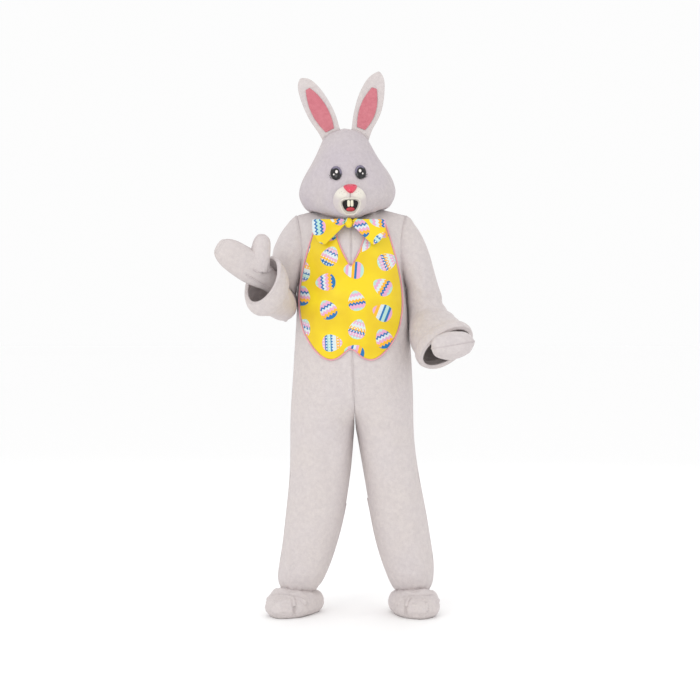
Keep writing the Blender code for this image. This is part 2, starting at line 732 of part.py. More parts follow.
def front_of(tree, x, z, lift=0.0):
    """The foremost point of a tree's pieces over (x, z), in their own frame, lifted off them."""
    place, normal, *_ = tree.ray_cast(Vector((x, -1.0, z)), Vector((0, 1, 0)))
    return place + normal * math.copysign(lift, -normal.y)


def patch_size(name):
    """A patch's sizes by name."""
    return dict(zip(PATCH_COLUMNS, PATCHES[name]))


def patch(name, tree, size, finish, holder, outline=None, grid=PATCH_GRID):
    """A padded patch that follows what lies under it. Its outline is an oval unless one is given."""
    grids = ([], [])
    rings, columns = grid
    for ring in range(rings + 1):
        share = 1 - ring / rings
        rows = ([], [])
        for angle in ring_angles(columns):
            across, up = outline(angle) if outline else (math.cos(angle), math.sin(angle))
            x = size["x"] + size["half_width"] * across * share
            z = size["z"] + size["half_height"] * up * share
            under = front_of(tree, x, z)
            swell = size["edge"] + (size["height"] - size["edge"]) * math.sqrt(1 - share**2)
            rows[0].append(under - Vector((0, size["lift"] + swell, 0)))
            rows[1].append(under - Vector((0, size["lift"], 0)))
        for side, row in zip(grids, rows):
            side.append(row if ring < rings else row[:1])
    return wall(name, grids[0], grids[1], finish, holder, ring=True, tip=True)


def mouth_outline(angle):
    """A mouth that is wide at its top and narrow at its bottom, as shares of its half sizes."""
    across, up = power(math.cos(angle), 0.62), power(math.sin(angle), 0.72)
    return across * (0.77 + 0.23 * up), up


def nose_outline(angle):
    """A rounded triangle with its point down."""
    across, up = power(math.cos(angle), 0.85), power(math.sin(angle), 0.85)
    return across * (0.68 + 0.32 * up), up


def tube_loop(name, points, radius, sides, finish, holder):
    """A closed cord along a loop of points."""
    bm = bmesh.new()
    rings = []
    up = Vector((0, 1, 0))
    for i, point in enumerate(points):
        along = (points[(i + 1) % len(points)] - points[i - 1]).normalized()
        side = along.cross(up).normalized()
        over = side.cross(along)
        ring = []
        for k in range(sides):
            angle = 2 * math.pi * k / sides
            ring.append(bm.verts.new(point + radius * (side * math.cos(angle) + over * math.sin(angle))))
        rings.append(ring)
    grid_faces(bm, rings + [rings[0]], True, False)
    return add_object(name, bm, finish, holder)


def tooth_outline(angle):
    """A square with rounded corners."""
    return power(math.cos(angle), 0.5), power(math.sin(angle), 0.5)


def build_lip(tree, finish, holder):
    """A cord round the mouth."""
    size = patch_size("mouth")
    loop = []
    for angle in ring_angles(LIP_POINTS):
        across, up = mouth_outline(angle)
        x = size["x"] + (size["half_width"] + LIP_RADIUS + LIP_GAP) * across
        z = size["z"] + (size["half_height"] + LIP_RADIUS + LIP_GAP) * up
        loop.append(front_of(tree, x, z, LIP_RADIUS + size["lift"]))
    return tube_loop("lip", loop, LIP_RADIUS, LIP_SIDES, finish, holder)


def build_face(head, colours, holder):
    made = {}
    tree = local_tree([head["head_front"]])
    made["muzzle"] = patch(
        "muzzle", tree, patch_size("muzzle"), colours["cream"], holder, grid=MUZZLE_GRID
    )
    for name, sign in (("eye_left", 1), ("eye_right", -1)):
        size = patch_size("eye")
        size["x"] *= sign
        made[name] = patch(name, tree, size, colours["eye"], holder)
    tree = local_tree([made["muzzle"], head["head_front"]])
    made["nose"] = patch("nose", tree, patch_size("nose"), colours["nose"], holder, nose_outline)
    made["mouth"] = patch("mouth", tree, patch_size("mouth"), colours["dark"], holder, mouth_outline)
    made["lip"] = build_lip(tree, colours["cream"], holder)
    tree = local_tree([made["mouth"], made["muzzle"]])
    for name, sign in (("tooth_left", 1), ("tooth_right", -1)):
        size = patch_size("tooth")
        size["x"] *= sign
        made[name] = patch(name, tree, size, colours["ivory"], holder, tooth_outline)
    made["tongue"] = patch("tongue", tree, patch_size("tongue"), colours["tongue"], holder)
    return made


def ear_section(side, v):
    """A section of an ear at v from its base, 0, to its tip, 1: middle, across and half width."""
    table = EARS[side]
    rows = [i / (len(table) - 1) for i in range(len(table))]
    x, z, half = (smooth(rows, [row[k] for row in table], v) for k in range(len(EAR_COLUMNS)))
    ahead = [smooth(rows, [row[k] for row in table], v + 0.01) for k in range(2)]
    behind = [smooth(rows, [row[k] for row in table], v - 0.01) for k in range(2)]
    along = Vector((ahead[0] - behind[0], 0, ahead[1] - behind[1])).normalized()
    return Vector((x, EAR_BACK_LEAN * v, z)), Vector((along.z, 0, -along.x)), half


def ear_point(side, u, v, depth):
    """A point of an ear: u across from -1 to 1, and depth from its back, 1, to its front, -1."""
    middle, across, half = ear_section(side, v)
    bow = EAR_EDGE + (EAR_THICKNESS - EAR_EDGE) * (1 - u * u)
    cup = EAR_CUP * (1 - u * u) * math.sin(math.pi * min(max(v, 0.0), 1.0)) ** 0.5
    return middle + across * half * u + Vector((0, cup + depth * bow / 2, 0))


def ear_inner(side, lift):
    """The grid of the pink inner ear, this far in front of the ear, narrow at both ends."""
    grid = []
    for i in range(EAR_ROWS):
        part = i / (EAR_ROWS - 1)
        taper = EAR_INNER_TAPER[0] + EAR_INNER_TAPER[1] * part
        share = EAR_INNER_SHARE * math.sin(math.pi * taper) ** EAR_INNER_POWER
        v = blend(*EAR_INNER_RUN, part)
        grid.append([ear_point(side, u * share, v, -1) - Vector((0, lift, 0)) for u in EAR_ACROSS])
    return grid


def build_ears(head, colours, costume):
    """The ears stand on the crown: each base follows it."""
    made = {}
    tree, _ = world_tree([head["head_front"], head["head_back"]])
    along = [i / EAR_ROWS for i in range(EAR_ROWS + 1)]
    for side in ("left", "right"):
        grids = []
        for depth in (-1, 1):
            grid = [[ear_point(side, u, v, depth) for u in EAR_ACROSS] for v in along]
            for i, point in enumerate(grid[0]):
                above = Vector((point.x, point.y, ABOVE_ALL))
                hit = tree.ray_cast(above, Vector((0, 0, -1)))[0]
                grid[0][i] = hit + Vector((0, 0, EAR_SEAT))
            grids.append(grid)
        made[f"ear_{side}"] = wall(f"ear_{side}", grids[0], grids[1], colours["plush"], costume)
        name = f"ear_{side}_inner"
        inner = [ear_inner(side, lift) for lift in (EAR_INNER_THICKNESS + EAR_INNER_LIFT, EAR_INNER_LIFT)]
        made[name] = wall(name, *inner, colours["pink"], costume)
    return made


# ================================================================ vest front and bow tie
def vest_half_width(z):
    return smooth([row[0] for row in VEST_SIDE], [row[1] for row in VEST_SIDE], z)


def vest_bottom(u):
    """The scalloped hem at u across, from -1 to 1."""
    return smooth([row[0] for row in VEST_HEM], [row[1] for row in VEST_HEM], abs(u))


def vest_top(u):
    """The V neck between the two straps."""
    share = min(abs(u) / VEST_V_SHARE, 1.0)
    return blend(VEST_V_BOTTOM, VEST_TOP, share**VEST_V_POWER)


def vest_place(u, v):
    """Where a point of the vest lies from the front: x and height."""
    z = blend(vest_bottom(u), vest_top(u), v)
    return VEST_X + u * vest_half_width(z), z


def on_suit(x, z, lift):
    """The point of the suit's front over (x, z), lifted off it along its normal."""
    side = 1 if x > 0 else -1
    surface = suit_side(side, -1)
    reach = min(abs(x) / SHOULDER_X, 0.97)
    t = (z - HEM_HEIGHT) / (UNDERARM_HEIGHT - HEM_HEIGHT)
    if t > 1:
        t = 1 + (z - UNDERARM_HEIGHT) / (NECK_SIDE_Z - UNDERARM_HEIGHT)
    s, t = find(surface, x, z, (1 - math.asin(reach) / (math.pi / 2), t))
    return surface(s, t) - normal_at(surface, s, t) * side * lift


def build_vest(colours, costume):
    made = {}
    across = [-u for u in reversed(VEST_ACROSS)] + [0.0, *VEST_ACROSS]
    up = [math.sin(math.pi / 2 * i / VEST_ROWS) for i in range(VEST_ROWS + 1)]
    grids = tuple(
        [[on_suit(*vest_place(u, v), lift) for u in across] for v in up]
        for lift in (VEST_LIFT + SATIN, VEST_LIFT)
    )
    made["vest_front"] = wall("vest_front", grids[0], grids[1], colours["satin"], costume)
    edge = [(-1, v) for v in up] + [(u, 1) for u in across[1:-1]]
    edge += [(1, v) for v in reversed(up)] + [(u, 0) for u in reversed(across[1:-1])]
    places = [Vector(vest_place(u, v)) for u, v in edge]
    loop = []
    for i, place in enumerate(places):
        along = (places[(i + 1) % len(places)] - places[i - 1]).normalized()
        x, z = place + Vector((-along.y, along.x)) * (PIPING_RADIUS + PIPING_GAP)
        loop.append(on_suit(x, z, PIPING_RADIUS + VEST_LIFT))
    made["vest_piping"] = tube_loop(
        "vest_piping", loop, PIPING_RADIUS, PIPING_SIDES, colours["piping"], costume
    )
    return made


def bow_point(side, u, v):
    """A bow wing's outer face: u runs out along its front, round its end and back behind it."""
    out = power(math.sin(math.pi * u), 0.8)
    shares = [row[0] for row in BOW_EDGES]
    top, bottom = (smooth(shares, [row[k] for row in BOW_EDGES], out) for k in (1, 2))
    height = blend(bottom, top, v)
    depth = -math.cos(math.pi * u) * BOW_DEPTH * (0.35 + 0.65 * out)
    pleat = BOW_PLEAT * math.sin(math.pi * BOW_PLEATS * v) * math.cos(math.pi * u) ** 2
    x = KNOT_SIZE[0] - GAP + BOW_LENGTH * out
    return Vector((side * x, depth - pleat, height))


def build_bow(colours, costume):
    """Two folded wings either side of a knot, seated on the bodice's neck."""
    made = {}
    up = [i / BOW_ROWS for i in range(BOW_ROWS + 1)]
    place = on_suit(*KNOT, KNOT_SIZE[1] + VEST_LIFT + BOW_REACH)
    for side, name in ((1, "bow_left"), (-1, "bow_right")):
        surface = partial(bow_point, side)
        wing = shell(name, surface, BOW_ALONG, up, BOW_WALL, -side, colours["satin"], costume)
        wing.data.transform(Matrix.Translation(place))
        made[name] = wing
    bm = bmesh.new()
    bmesh.ops.create_uvsphere(bm, u_segments=12, v_segments=8, radius=1.0)
    bmesh.ops.scale(bm, vec=KNOT_SIZE, verts=bm.verts)
    bmesh.ops.translate(bm, vec=place, verts=bm.verts)
    made["bow_knot"] = add_object("bow_knot", bm, colours["satin"], costume)
    return made


# ================================================================ mittens and foot covers
def loft(name, rings, finish, holder):
    """A closed solid through rings of points, with a flat end at each end."""
    bm = bmesh.new()
    rows = [[bm.verts.new(p) for p in ring] for ring in rings]
    grid_faces(bm, rows, True, False)
    bm.faces.new(rows[0][::-1])
    bm.faces.new(rows[-1])
    return add_object(name, bm, finish, holder)


def limb_rings(start, end, across, table, less, ends):
    """Oval rings along a line, each less by a wall; ends says how far the line runs past each end."""
    start, end = Vector(start), Vector(end)
    along = (end - start).normalized()
    across = (Vector(across) - along * along.dot(Vector(across))).normalized()
    over = along.cross(across)
    length = (end - start).length
    rings = []
    for i, row in enumerate(table):
        place = start + along * (row[0] * length)
        if i == 0:
            place -= along * ends[0]
        if i == len(table) - 1:
            place -= along * ends[1]
        ring = []
        for angle in ring_angles(HAND_COLUMNS):
            x = (row[1] - less) * power(math.cos(angle), HAND_POWER)
            y = (row[2] - less) * power(math.sin(angle), HAND_POWER)
            ring.append(place + across * x + over * y)
        rings.append(ring)
    return rings, along, across, over


def box_between(name, centre, axes, sizes, holder, finish):
    """A box about a centre: three unit axes and the half size along each."""
    bm = bmesh.new()
    bmesh.ops.create_cube(bm, size=2.0)
    for vert in bm.verts:
        vert.co = centre + sum((axis * size * c for axis, size, c in zip(axes, sizes, vert.co)), Vector())
    return add_object(name, bm, finish, holder)


def build_mitten(side, plush, costume):
    """A mitten from a palm and a back, each cut in one with half of the thumb."""
    hand = HANDS[side]
    made = {}
    for name, way in ((f"mitten_{side}_palm", -1), (f"mitten_{side}_back", 1)):
        parts = []
        for less, ends in ((0.0, (0.0, 0.0)), (PLUSH, (WRIST_RUN, PLUSH))):
            rings, along, across, over = limb_rings(
                hand["wrist"], hand["tip"], hand["across"], hand["table"], less, ends
            )
            body = loft("body", rings, plush, costume)
            rings, *_ = limb_rings(*hand["thumb"], along, hand["thumb_table"], less, (0.0, less))
            thumb = loft("thumb", rings, plush, costume)
            combine(body, thumb, "UNION")
            parts.append(body)
        combine(parts[0], parts[1], "DIFFERENCE")
        middle = (Vector(hand["wrist"]) + Vector(hand["tip"])) / 2
        half = box_between(
            "half", middle + over * way * (HAND_HALF_BOX[2] + GAP / 2), (along, across, over),
            HAND_HALF_BOX, costume, plush,
        )
        combine(parts[0], half, "INTERSECT")
        parts[0].name = name
        made[name] = parts[0]
    return made


def foot_ring(t, angle, less=0.0):
    """A foot cover's outline at row t, in its own frame: toes at -Y, lobed round the toes."""
    rows = list(range(len(FOOT)))
    height, toe, heel, half, lobe = (
        smooth(rows, [row[k] for row in FOOT], t) for k in range(len(FOOT_COLUMNS))
    )
    cosine, sine = math.cos(angle), math.sin(angle)
    forward = max(sine, 0.0)
    reach = toe if sine > 0 else heel
    x = (half - less) * power(cosine, FOOT_POWER) * (1 + TOE_SPREAD * forward)
    y = -(reach - less) * power(sine, FOOT_POWER)
    waves = lobe * forward**2 * (math.cos(TOE_LOBES * (angle - math.pi / 2)) - 1) / 2
    return Vector((x * (1 + 0.4 * waves), y * (1 + waves), height))


def build_foot(side, colours, costume):
    made = {}
    (x, y), turn = FEET[side]
    place = Matrix.Translation((x, y, 0)) @ Matrix.Rotation(turn, 4, "Z")
    angles = ring_angles(FOOT_ROUND)
    rows = sorted([*range(len(FOOT)), *FOOT_EXTRA_ROWS])

    def surface(angle, t):
        return place @ foot_ring(t, angle)

    name = f"foot_{side}"
    made[name] = shell(name, surface, angles, rows, PLUSH, -1, colours["plush"], costume, ring=True)
    name = f"sole_{side}"
    rings = []
    for height in (0.0, SOLE_THICKNESS):
        rings.append([place @ Vector((*foot_ring(0, a, SOLE_INSET).xy, height)) for a in angles])
    made[name] = loft(name, rings, colours["sole"], costume)
    return made


# ================================================================ the back zip
def back_middle(t):
    """The middle of the back opening at t: a point level with the plush, and the way out of it."""
    point = suit_point(1, 1, 1.0, t)
    height = min(point.z, UNDERARM_HEIGHT)
    sides = [column(BODY, BODY_COLUMNS, name, height) for name in ("left_in", "right_in")]
    normal = suit_normal(suit_side(1, 1), 1.0, t)
    return Vector((sum(sides) / 2, point.y, point.z)), normal * math.copysign(1, normal.y)


def union_of_boxes(name, frame, boxes, finish, parent):
    """One solid from overlapping boxes, each a middle and half sizes in a frame's own axes."""
    made = None
    for middle, sizes in boxes:
        bm = bmesh.new()
        bmesh.ops.create_cube(bm, size=2.0)
        bmesh.ops.scale(bm, vec=sizes, verts=bm.verts)
        bmesh.ops.translate(bm, vec=middle, verts=bm.verts)
        bm.transform(frame)
        box = add_object(name, bm, finish, parent)
        if made is None:
            made = box
        else:
            combine(made, box, "UNION")
    made.name = name
    return made


def build_zip(colours, costume):
    """A closed zip behind the back opening, with its slider at the top and its tab hanging."""
    bottom = (ZIP_BOTTOM - HEM_HEIGHT) / (UNDERARM_HEIGHT - HEM_HEIGHT)
    grids = ([], [])
    for i in range(ZIP_ROWS + 1):
        middle, out = back_middle(blend(bottom, ZIP_TOP, i / ZIP_ROWS))
        for grid, depth in zip(grids, (0.0, TAPE_THICKNESS)):
            place = middle - out * (PLUSH + TAPE_LIFT + depth)
            grid.append([place + Vector((k * TAPE_HALF_WIDTH, 0, 0)) for k in (-1, 0, 1)])
    made = {"zip_tape": wall("zip_tape", grids[0], grids[1], colours["tape"], costume)}
    middle, out = back_middle(SLIDER_ROW)
    place = middle - out * (PLUSH + TAPE_LIFT)
    axes = Matrix((Vector((1, 0, 0)), out, Vector((1, 0, 0)).cross(out))).transposed()
    frame = Matrix.Translation(place) @ axes.to_4x4()
    half_x, half_y, half_z = (size / 2 for size in SLIDER)
    top = SLIDER_LIFT + SLIDER[1]
    arch = top + TAB_THICKNESS + 2 * TAB_PLAY
    middle_y = top + TAB_PLAY + TAB_THICKNESS / 2
    made["zip_slider"] = union_of_boxes(
        "zip_slider", frame,
        (
            ((0, SLIDER_LIFT + half_y, 0), (half_x, half_y, half_z)),
            ((0, (top + arch) / 2, BRIDGE_HALF - BRIDGE / 2), (BRIDGE, arch - top, BRIDGE / 2)),
            ((0, (top + arch) / 2, BRIDGE / 2 - BRIDGE_HALF), (BRIDGE, arch - top, BRIDGE / 2)),
            ((0, arch + BRIDGE / 2, 0), (BRIDGE, BRIDGE / 2, BRIDGE_HALF)),
        ),
        colours["metal"], costume,
    )
    pivot = bpy.data.objects.new("zip_pull_pivot", None)
    bpy.context.scene.collection.objects.link(pivot)
    pivot.parent = costume
    pivot.matrix_local = frame @ Matrix.Translation((0, middle_y, 0))
    half = TAB_THICKNESS / 2
    rail = TAB_WIDTH / 2 - half
    window = 2 * BRIDGE_HALF
    made["zip_pull"] = union_of_boxes(
        "zip_pull", Matrix.Identity(4),
        (
            ((0, 0, 0), (TAB_WIDTH / 2, half, half)),
            ((rail, 0, -window / 2), (half, half, window / 2 + 0.4 * half)),
            ((-rail, 0, -window / 2), (half, half, window / 2 + 0.4 * half)),
            ((0, 0, -(window + TAB_LENGTH) / 2), (TAB_WIDTH / 2, half, (TAB_LENGTH - window) / 2)),
        ),
        colours["metal"], pivot,
    )
    return made


# ================================================================ assembly
def main():
    for old in list(bpy.data.objects):
        bpy.data.objects.remove(old)
    costume = add_holder("costume", None)
    costume.location = (0, 0, -SHOULDER_HEIGHT)
    holder = add_holder("head", costume)
    colours = {
        "plush": material("white_plush", (0.72, 0.68, 0.68), 0.95),
        "cream": material("cream_plush", (0.80, 0.76, 0.66), 0.95),
        "pink": material("pink_plush", (0.83, 0.33, 0.37), 0.9),
        "satin": material("yellow_satin", (0.92, 0.72, 0.03), 0.4),
        "piping": material("pink_piping", (0.83, 0.37, 0.42), 0.5),
        "nose": material("glossy_nose", (0.75, 0.06, 0.11), 0.2),
        "eye": material("black_eye", (0.01, 0.01, 0.01), 0.15),
        "dark": material("black_felt", (0.01, 0.01, 0.01), 0.9),
        "ivory": material("ivory_felt", (0.85, 0.83, 0.72), 0.6),
        "tongue": material("red_felt", (0.5, 0.02, 0.04), 0.8),
        "sole": material("sole_fabric", (0.45, 0.42, 0.42), 0.9),
        "tape": material("zip_tape", (0.66, 0.63, 0.62), 0.8),
        "metal": material("zip_metal", (0.6, 0.6, 0.6), 0.35, 1.0),
    }
    suit = build_suit(colours["plush"], costume)
    build_sleeves(colours["plush"], costume)
    turn = Matrix.Rotation(HEAD_LEAN, 4, "Y") @ Matrix.Rotation(HEAD_TURN, 4, "Z")
    base = Matrix.Translation((HEAD_X, 0, HEAD_BASE))
    holder.matrix_local = base @ turn @ Matrix.Translation((0, 0, -HEAD_BASE))
    head = build_head(colours["plush"], holder)
    build_face(head, colours, holder)
    seat(list(head.values()), list(suit.values()), (0, 0, -1), holder, HEAD_SEAT)
    costume.location = (0, 0, 0)
    bpy.context.view_layer.update()
    build_ears(head, colours, costume)
    vest = build_vest(colours, costume)
    bow_holder = add_holder("bow", costume)
    bow = build_bow(colours, bow_holder)
    seat(list(bow.values()), [*suit.values(), *vest.values()], (0, 1, 0), bow_holder, BOW_SEAT)
    for side in ("left", "right"):
        build_mitten(side, colours["plush"], costume)
        build_foot(side, colours, costume)
    build_zip(colours, costume)
    costume.location = (0, 0, -SHOULDER_HEIGHT)


main()
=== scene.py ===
"""Rabbit mascot costume: the cloth, print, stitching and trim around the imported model."""

import json
import math

import bmesh
import bpy
import numpy as np
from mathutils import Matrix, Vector
from mathutils.bvhtree import BVHTree

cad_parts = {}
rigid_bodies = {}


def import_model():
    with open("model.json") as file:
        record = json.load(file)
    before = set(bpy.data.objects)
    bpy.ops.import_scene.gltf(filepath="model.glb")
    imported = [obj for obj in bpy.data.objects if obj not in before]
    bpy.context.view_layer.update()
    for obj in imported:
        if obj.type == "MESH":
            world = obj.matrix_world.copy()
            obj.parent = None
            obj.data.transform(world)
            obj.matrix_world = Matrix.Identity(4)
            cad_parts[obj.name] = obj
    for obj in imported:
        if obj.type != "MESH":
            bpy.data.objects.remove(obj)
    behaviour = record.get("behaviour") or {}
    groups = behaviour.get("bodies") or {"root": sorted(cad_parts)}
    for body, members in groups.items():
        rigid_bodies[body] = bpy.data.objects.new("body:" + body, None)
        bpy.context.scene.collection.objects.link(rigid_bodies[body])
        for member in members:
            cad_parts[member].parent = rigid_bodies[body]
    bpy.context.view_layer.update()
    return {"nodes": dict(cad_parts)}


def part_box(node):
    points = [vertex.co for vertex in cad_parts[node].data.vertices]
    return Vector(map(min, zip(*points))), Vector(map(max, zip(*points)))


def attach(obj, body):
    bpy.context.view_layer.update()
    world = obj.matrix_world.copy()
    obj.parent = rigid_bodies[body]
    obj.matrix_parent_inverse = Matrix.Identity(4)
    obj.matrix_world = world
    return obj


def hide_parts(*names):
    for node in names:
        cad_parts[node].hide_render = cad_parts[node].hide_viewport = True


SHOULDER_HEIGHT = 1.46
FLOOR = -SHOULDER_HEIGHT

# ---------------------------------------------------------------- the camera and the room
# The camera stands level, and the photo's horizon row sets how far its frame is shifted.
CAMERA_PLACE = (-0.004, -6.2, 1.10 - SHOULDER_HEIGHT)
FRAME_WIDTH = 2.625
HORIZON_ROW = 318
FRAME_PIXELS = 700
SENSOR_WIDTH = 36
FLOOR_HALF = 60.0
SKY_STRENGTH = 0.98
# Area lights: name, place, size and power. All of them aim at the costume's middle.
LIGHTS = (
    ("key", (-2.6, -4.2, 2.2), 2.6, 45),
    ("fill", (3.4, -3.6, 1.0), 3.0, 12),
    ("back", (0.5, 4.2, 2.4), 3.0, 30),
)
LIGHTS_AIM = (0, 0, -0.4)

# ---------------------------------------------------------------- cloth
# Plush panels: rounds of subdivision, then the width, length and area of the flat cut in metres.
PLUSH_NODES = {
    "ear_left": (2, 0.10, 0.25, 0.021),
    "ear_right": (2, 0.10, 0.25, 0.021),
    "cuff_left": (2, 0.10, 0.50, 0.035),
    "cuff_right": (2, 0.10, 0.50, 0.035),
    "sleeve_left": (2, 0.55, 0.46, 0.22),
    "sleeve_right": (2, 0.55, 0.46, 0.19),
    "suit_front_left": (2, 0.42, 1.44, 0.45),
    "suit_front_right": (2, 0.42, 1.44, 0.45),
    "suit_back_left": (2, 0.42, 1.48, 0.46),
    "suit_back_right": (2, 0.42, 1.48, 0.46),
    "head_front": (2, 0.50, 0.52, 0.17),
    "head_back": (2, 0.50, 0.52, 0.17),
    "mitten_left_palm": (2, 0.20, 0.26, 0.035),
    "mitten_left_back": (2, 0.20, 0.26, 0.035),
    "mitten_right_palm": (2, 0.20, 0.26, 0.040),
    "mitten_right_back": (2, 0.20, 0.26, 0.040),
    "foot_left": (3, 0.33, 0.42, 0.085),
    "foot_right": (3, 0.33, 0.42, 0.085),
}

# Folds: the panels that carry each, the side it is seen from, its line's two ends (across, height above
# the floor), its half width, and how deep it sinks (or rises, where negative).
FOLD_COLUMNS = ("carrier", "side", "start", "end", "half_width", "depth")
FOLDS = (
    ("suit_front", "front", (-0.036, 0.92), (-0.030, 0.74), 0.022, 0.0055),
    ("suit_front", "front", (0.022, 0.93), (0.020, 0.78), 0.016, -0.0030),
    ("suit_front", "front", (0.186, 0.76), (0.192, 0.51), 0.026, 0.0060),
    ("suit_front", "front", (-0.080, 0.67), (-0.072, 0.48), 0.026, 0.0055),
    ("suit_front", "front", (-0.195, 0.60), (-0.205, 0.42), 0.024, 0.0045),
    ("suit_front", "front", (-0.125, 0.425), (-0.085, 0.395), 0.010, 0.0040),
    ("suit_front", "front", (0.250, 0.40), (0.262, 0.26), 0.020, 0.0065),
    ("suit_front", "front", (-0.245, 0.205), (-0.185, 0.172), 0.011, 0.0055),
    ("suit_front", "front", (-0.262, 0.170), (-0.205, 0.150), 0.009, 0.0045),
    ("suit_front", "front", (0.165, 0.190), (0.275, 0.162), 0.013, 0.0060),
    ("suit_front", "front", (0.205, 0.235), (0.250, 0.215), 0.011, 0.0040),
    ("suit_front", "front", (-0.160, 0.67), (-0.050, 0.705), 0.018, 0.0035),
    ("suit_front", "front", (0.070, 0.700), (0.160, 0.665), 0.018, 0.0035),
    ("suit_front", "front", (-0.185, 0.90), (-0.160, 0.80), 0.018, 0.0035),
    ("suit_front", "front", (0.185, 0.91), (0.165, 0.82), 0.018, 0.0035),
    ("suit_front", "front", (-0.200, 1.30), (-0.160, 1.40), 0.016, 0.0035),
    ("suit_front", "front", (0.196, 1.30), (0.158, 1.40), 0.016, 0.0035),
    ("suit_back", "back", (-0.180, 0.80), (-0.040, 0.74), 0.020, 0.0070),
    ("suit_back", "back", (0.180, 0.81), (0.045, 0.75), 0.018, 0.0065),
    ("suit_back", "back", (-0.190, 0.75), (-0.060, 0.715), 0.014, 0.0045),
    ("suit_back", "back", (-0.200, 0.49), (-0.090, 0.46), 0.018, 0.0065),
    ("suit_back", "back", (0.100, 0.48), (0.230, 0.45), 0.016, 0.0060),
    ("suit_back", "back", (-0.220, 0.43), (-0.120, 0.415), 0.014, 0.0050),
    ("suit_back", "back", (0.130, 0.41), (0.240, 0.395), 0.014, 0.0050),
    ("suit_back", "back", (-0.255, 0.21), (-0.150, 0.185), 0.013, 0.0055),
    ("suit_back", "back", (0.170, 0.205), (0.290, 0.185), 0.013, 0.0055),
    ("suit_back", "back", (-0.160, 1.10), (-0.030, 1.04), 0.022, 0.0055),
    ("suit_back", "back", (0.160, 1.09), (0.035, 1.05), 0.022, 0.0055),
    ("suit_back", "back", (-0.185, 1.36), (-0.120, 1.28), 0.020, 0.0050),
    ("suit_back", "back", (0.185, 1.36), (0.115, 1.27), 0.020, 0.0050),
    ("suit", "left", (-0.080, 0.52), (0.085, 0.49), 0.018, 0.0055),
    ("suit", "left", (-0.070, 0.98), (0.080, 0.94), 0.022, 0.0045),
    ("suit", "left", (-0.060, 0.215), (0.070, 0.200), 0.013, 0.0060),
    ("suit", "right", (-0.080, 0.50), (0.085, 0.53), 0.018, 0.0055),
    ("suit", "right", (-0.070, 0.95), (0.080, 0.99), 0.022, 0.0045),
    ("suit", "right", (-0.060, 0.205), (0.070, 0.225), 0.013, 0.0060),
    ("sleeve_left", "front", (0.285, 1.140), (0.342, 1.112), 0.012, 0.0060),
    ("sleeve_left", "front", (0.262, 1.175), (0.310, 1.165), 0.013, 0.0040),
    ("sleeve_left", "front", (0.236, 1.300), (0.262, 1.220), 0.015, 0.0040),
    ("sleeve_left", "front", (0.240, 1.080), (0.300, 1.060), 0.012, 0.0050),
    ("sleeve_left", "back", (0.230, 1.150), (0.320, 1.110), 0.016, 0.0060),
    ("sleeve_left", "back", (0.235, 1.300), (0.285, 1.240), 0.018, 0.0050),
    ("sleeve_left", "left", (-0.050, 1.165), (0.050, 1.150), 0.014, 0.0050),
    ("sleeve_left", "left", (-0.130, 1.120), (-0.030, 1.080), 0.012, 0.0045),
    ("sleeve_right", "front", (-0.262, 1.300), (-0.235, 1.225), 0.015, 0.0045),
    ("sleeve_right", "front", (-0.222, 1.215), (-0.285, 1.180), 0.012, 0.0050),
    ("sleeve_right", "front", (-0.225, 1.165), (-0.290, 1.160), 0.012, 0.0045),
    ("sleeve_right", "back", (-0.230, 1.200), (-0.290, 1.175), 0.014, 0.0060),
    ("sleeve_right", "back", (-0.235, 1.310), (-0.280, 1.260), 0.018, 0.0050),
    ("sleeve_right", "right", (-0.050, 1.235), (0.050, 1.225), 0.014, 0.0055),
    ("sleeve_right", "right", (-0.110, 1.200), (-0.030, 1.170), 0.012, 0.0045),
    ("ear_left_inner", "front", (0.037, 1.915), (0.098, 1.926), 0.004, 0.0016),
    ("ear_left_inner", "front", (0.03, 1.889), (0.094, 1.896), 0.0034, 0.0012),
    ("ear_left_inner", "front", (0.026, 1.859), (0.082, 1.866), 0.004, 0.0018),
    ("ear_left_inner", "front", (0.022, 1.829), (0.071, 1.833), 0.0034, 0.0013),
    ("ear_left_inner", "front", (0.022, 1.803), (0.056, 1.806), 0.004, 0.0015),
    ("ear_right_inner", "front", (-0.154, 1.908), (-0.109, 1.904), 0.004, 0.0016),
    ("ear_right_inner", "front", (-0.15, 1.881), (-0.094, 1.885), 0.0034, 0.0012),
    ("ear_right_inner", "front", (-0.139, 1.855), (-0.082, 1.859), 0.004, 0.0018),
    ("ear_right_inner", "front", (-0.124, 1.829), (-0.068, 1.836), 0.0034, 0.0013),
    ("ear_right_inner", "front", (-0.109, 1.806), (-0.064, 1.81), 0.004, 0.0015),
)
# The way to each side that a fold can be seen from.
VIEWS = {"front": (0, -1, 0), "back": (0, 1, 0), "left": (1, 0, 0), "right": (-1, 0, 0)}
# How many points a fold's line has, and how often the way out of a wall is evened along its edges.
FOLD_POINTS = 7
SMOOTHING_ROUNDS = 10
# Cloth this near to another piece is held by it.
SEAM_REACH = 0.022
# Seams run where edges over this sharp lie within the gap and their outer face looks out by this share.
# Then their roll's radius and how far it sinks.
SEAM_GAP = 0.0055
SEAM_ANGLE = math.radians(42)
SEAM_FACING = 0.3
SEAM_RADIUS = 0.0024
SEAM_SINK = 0.0012
# How far cloth stands out from its solid, and the soft swell over it.
PUFF = 0.0012
PLUSH_SWELL = {"seed": 5, "length": 0.16, "amount": 0.0016}
VEST_SWELL = {"seed": 11, "length": 0.13, "amount": 0.0016}
# A foot cover keeps at least this share of its lumps and grooves beside its sole and the hem.
FOOT_SHARE = 0.8
# A leg's gathered hem: its height, how far up the pleats run, their depth and count, and how far it droops.
HEM = {"height": 0.086, "reach": 0.10, "pleat": 0.0045, "count": 15, "drop": 0.006}
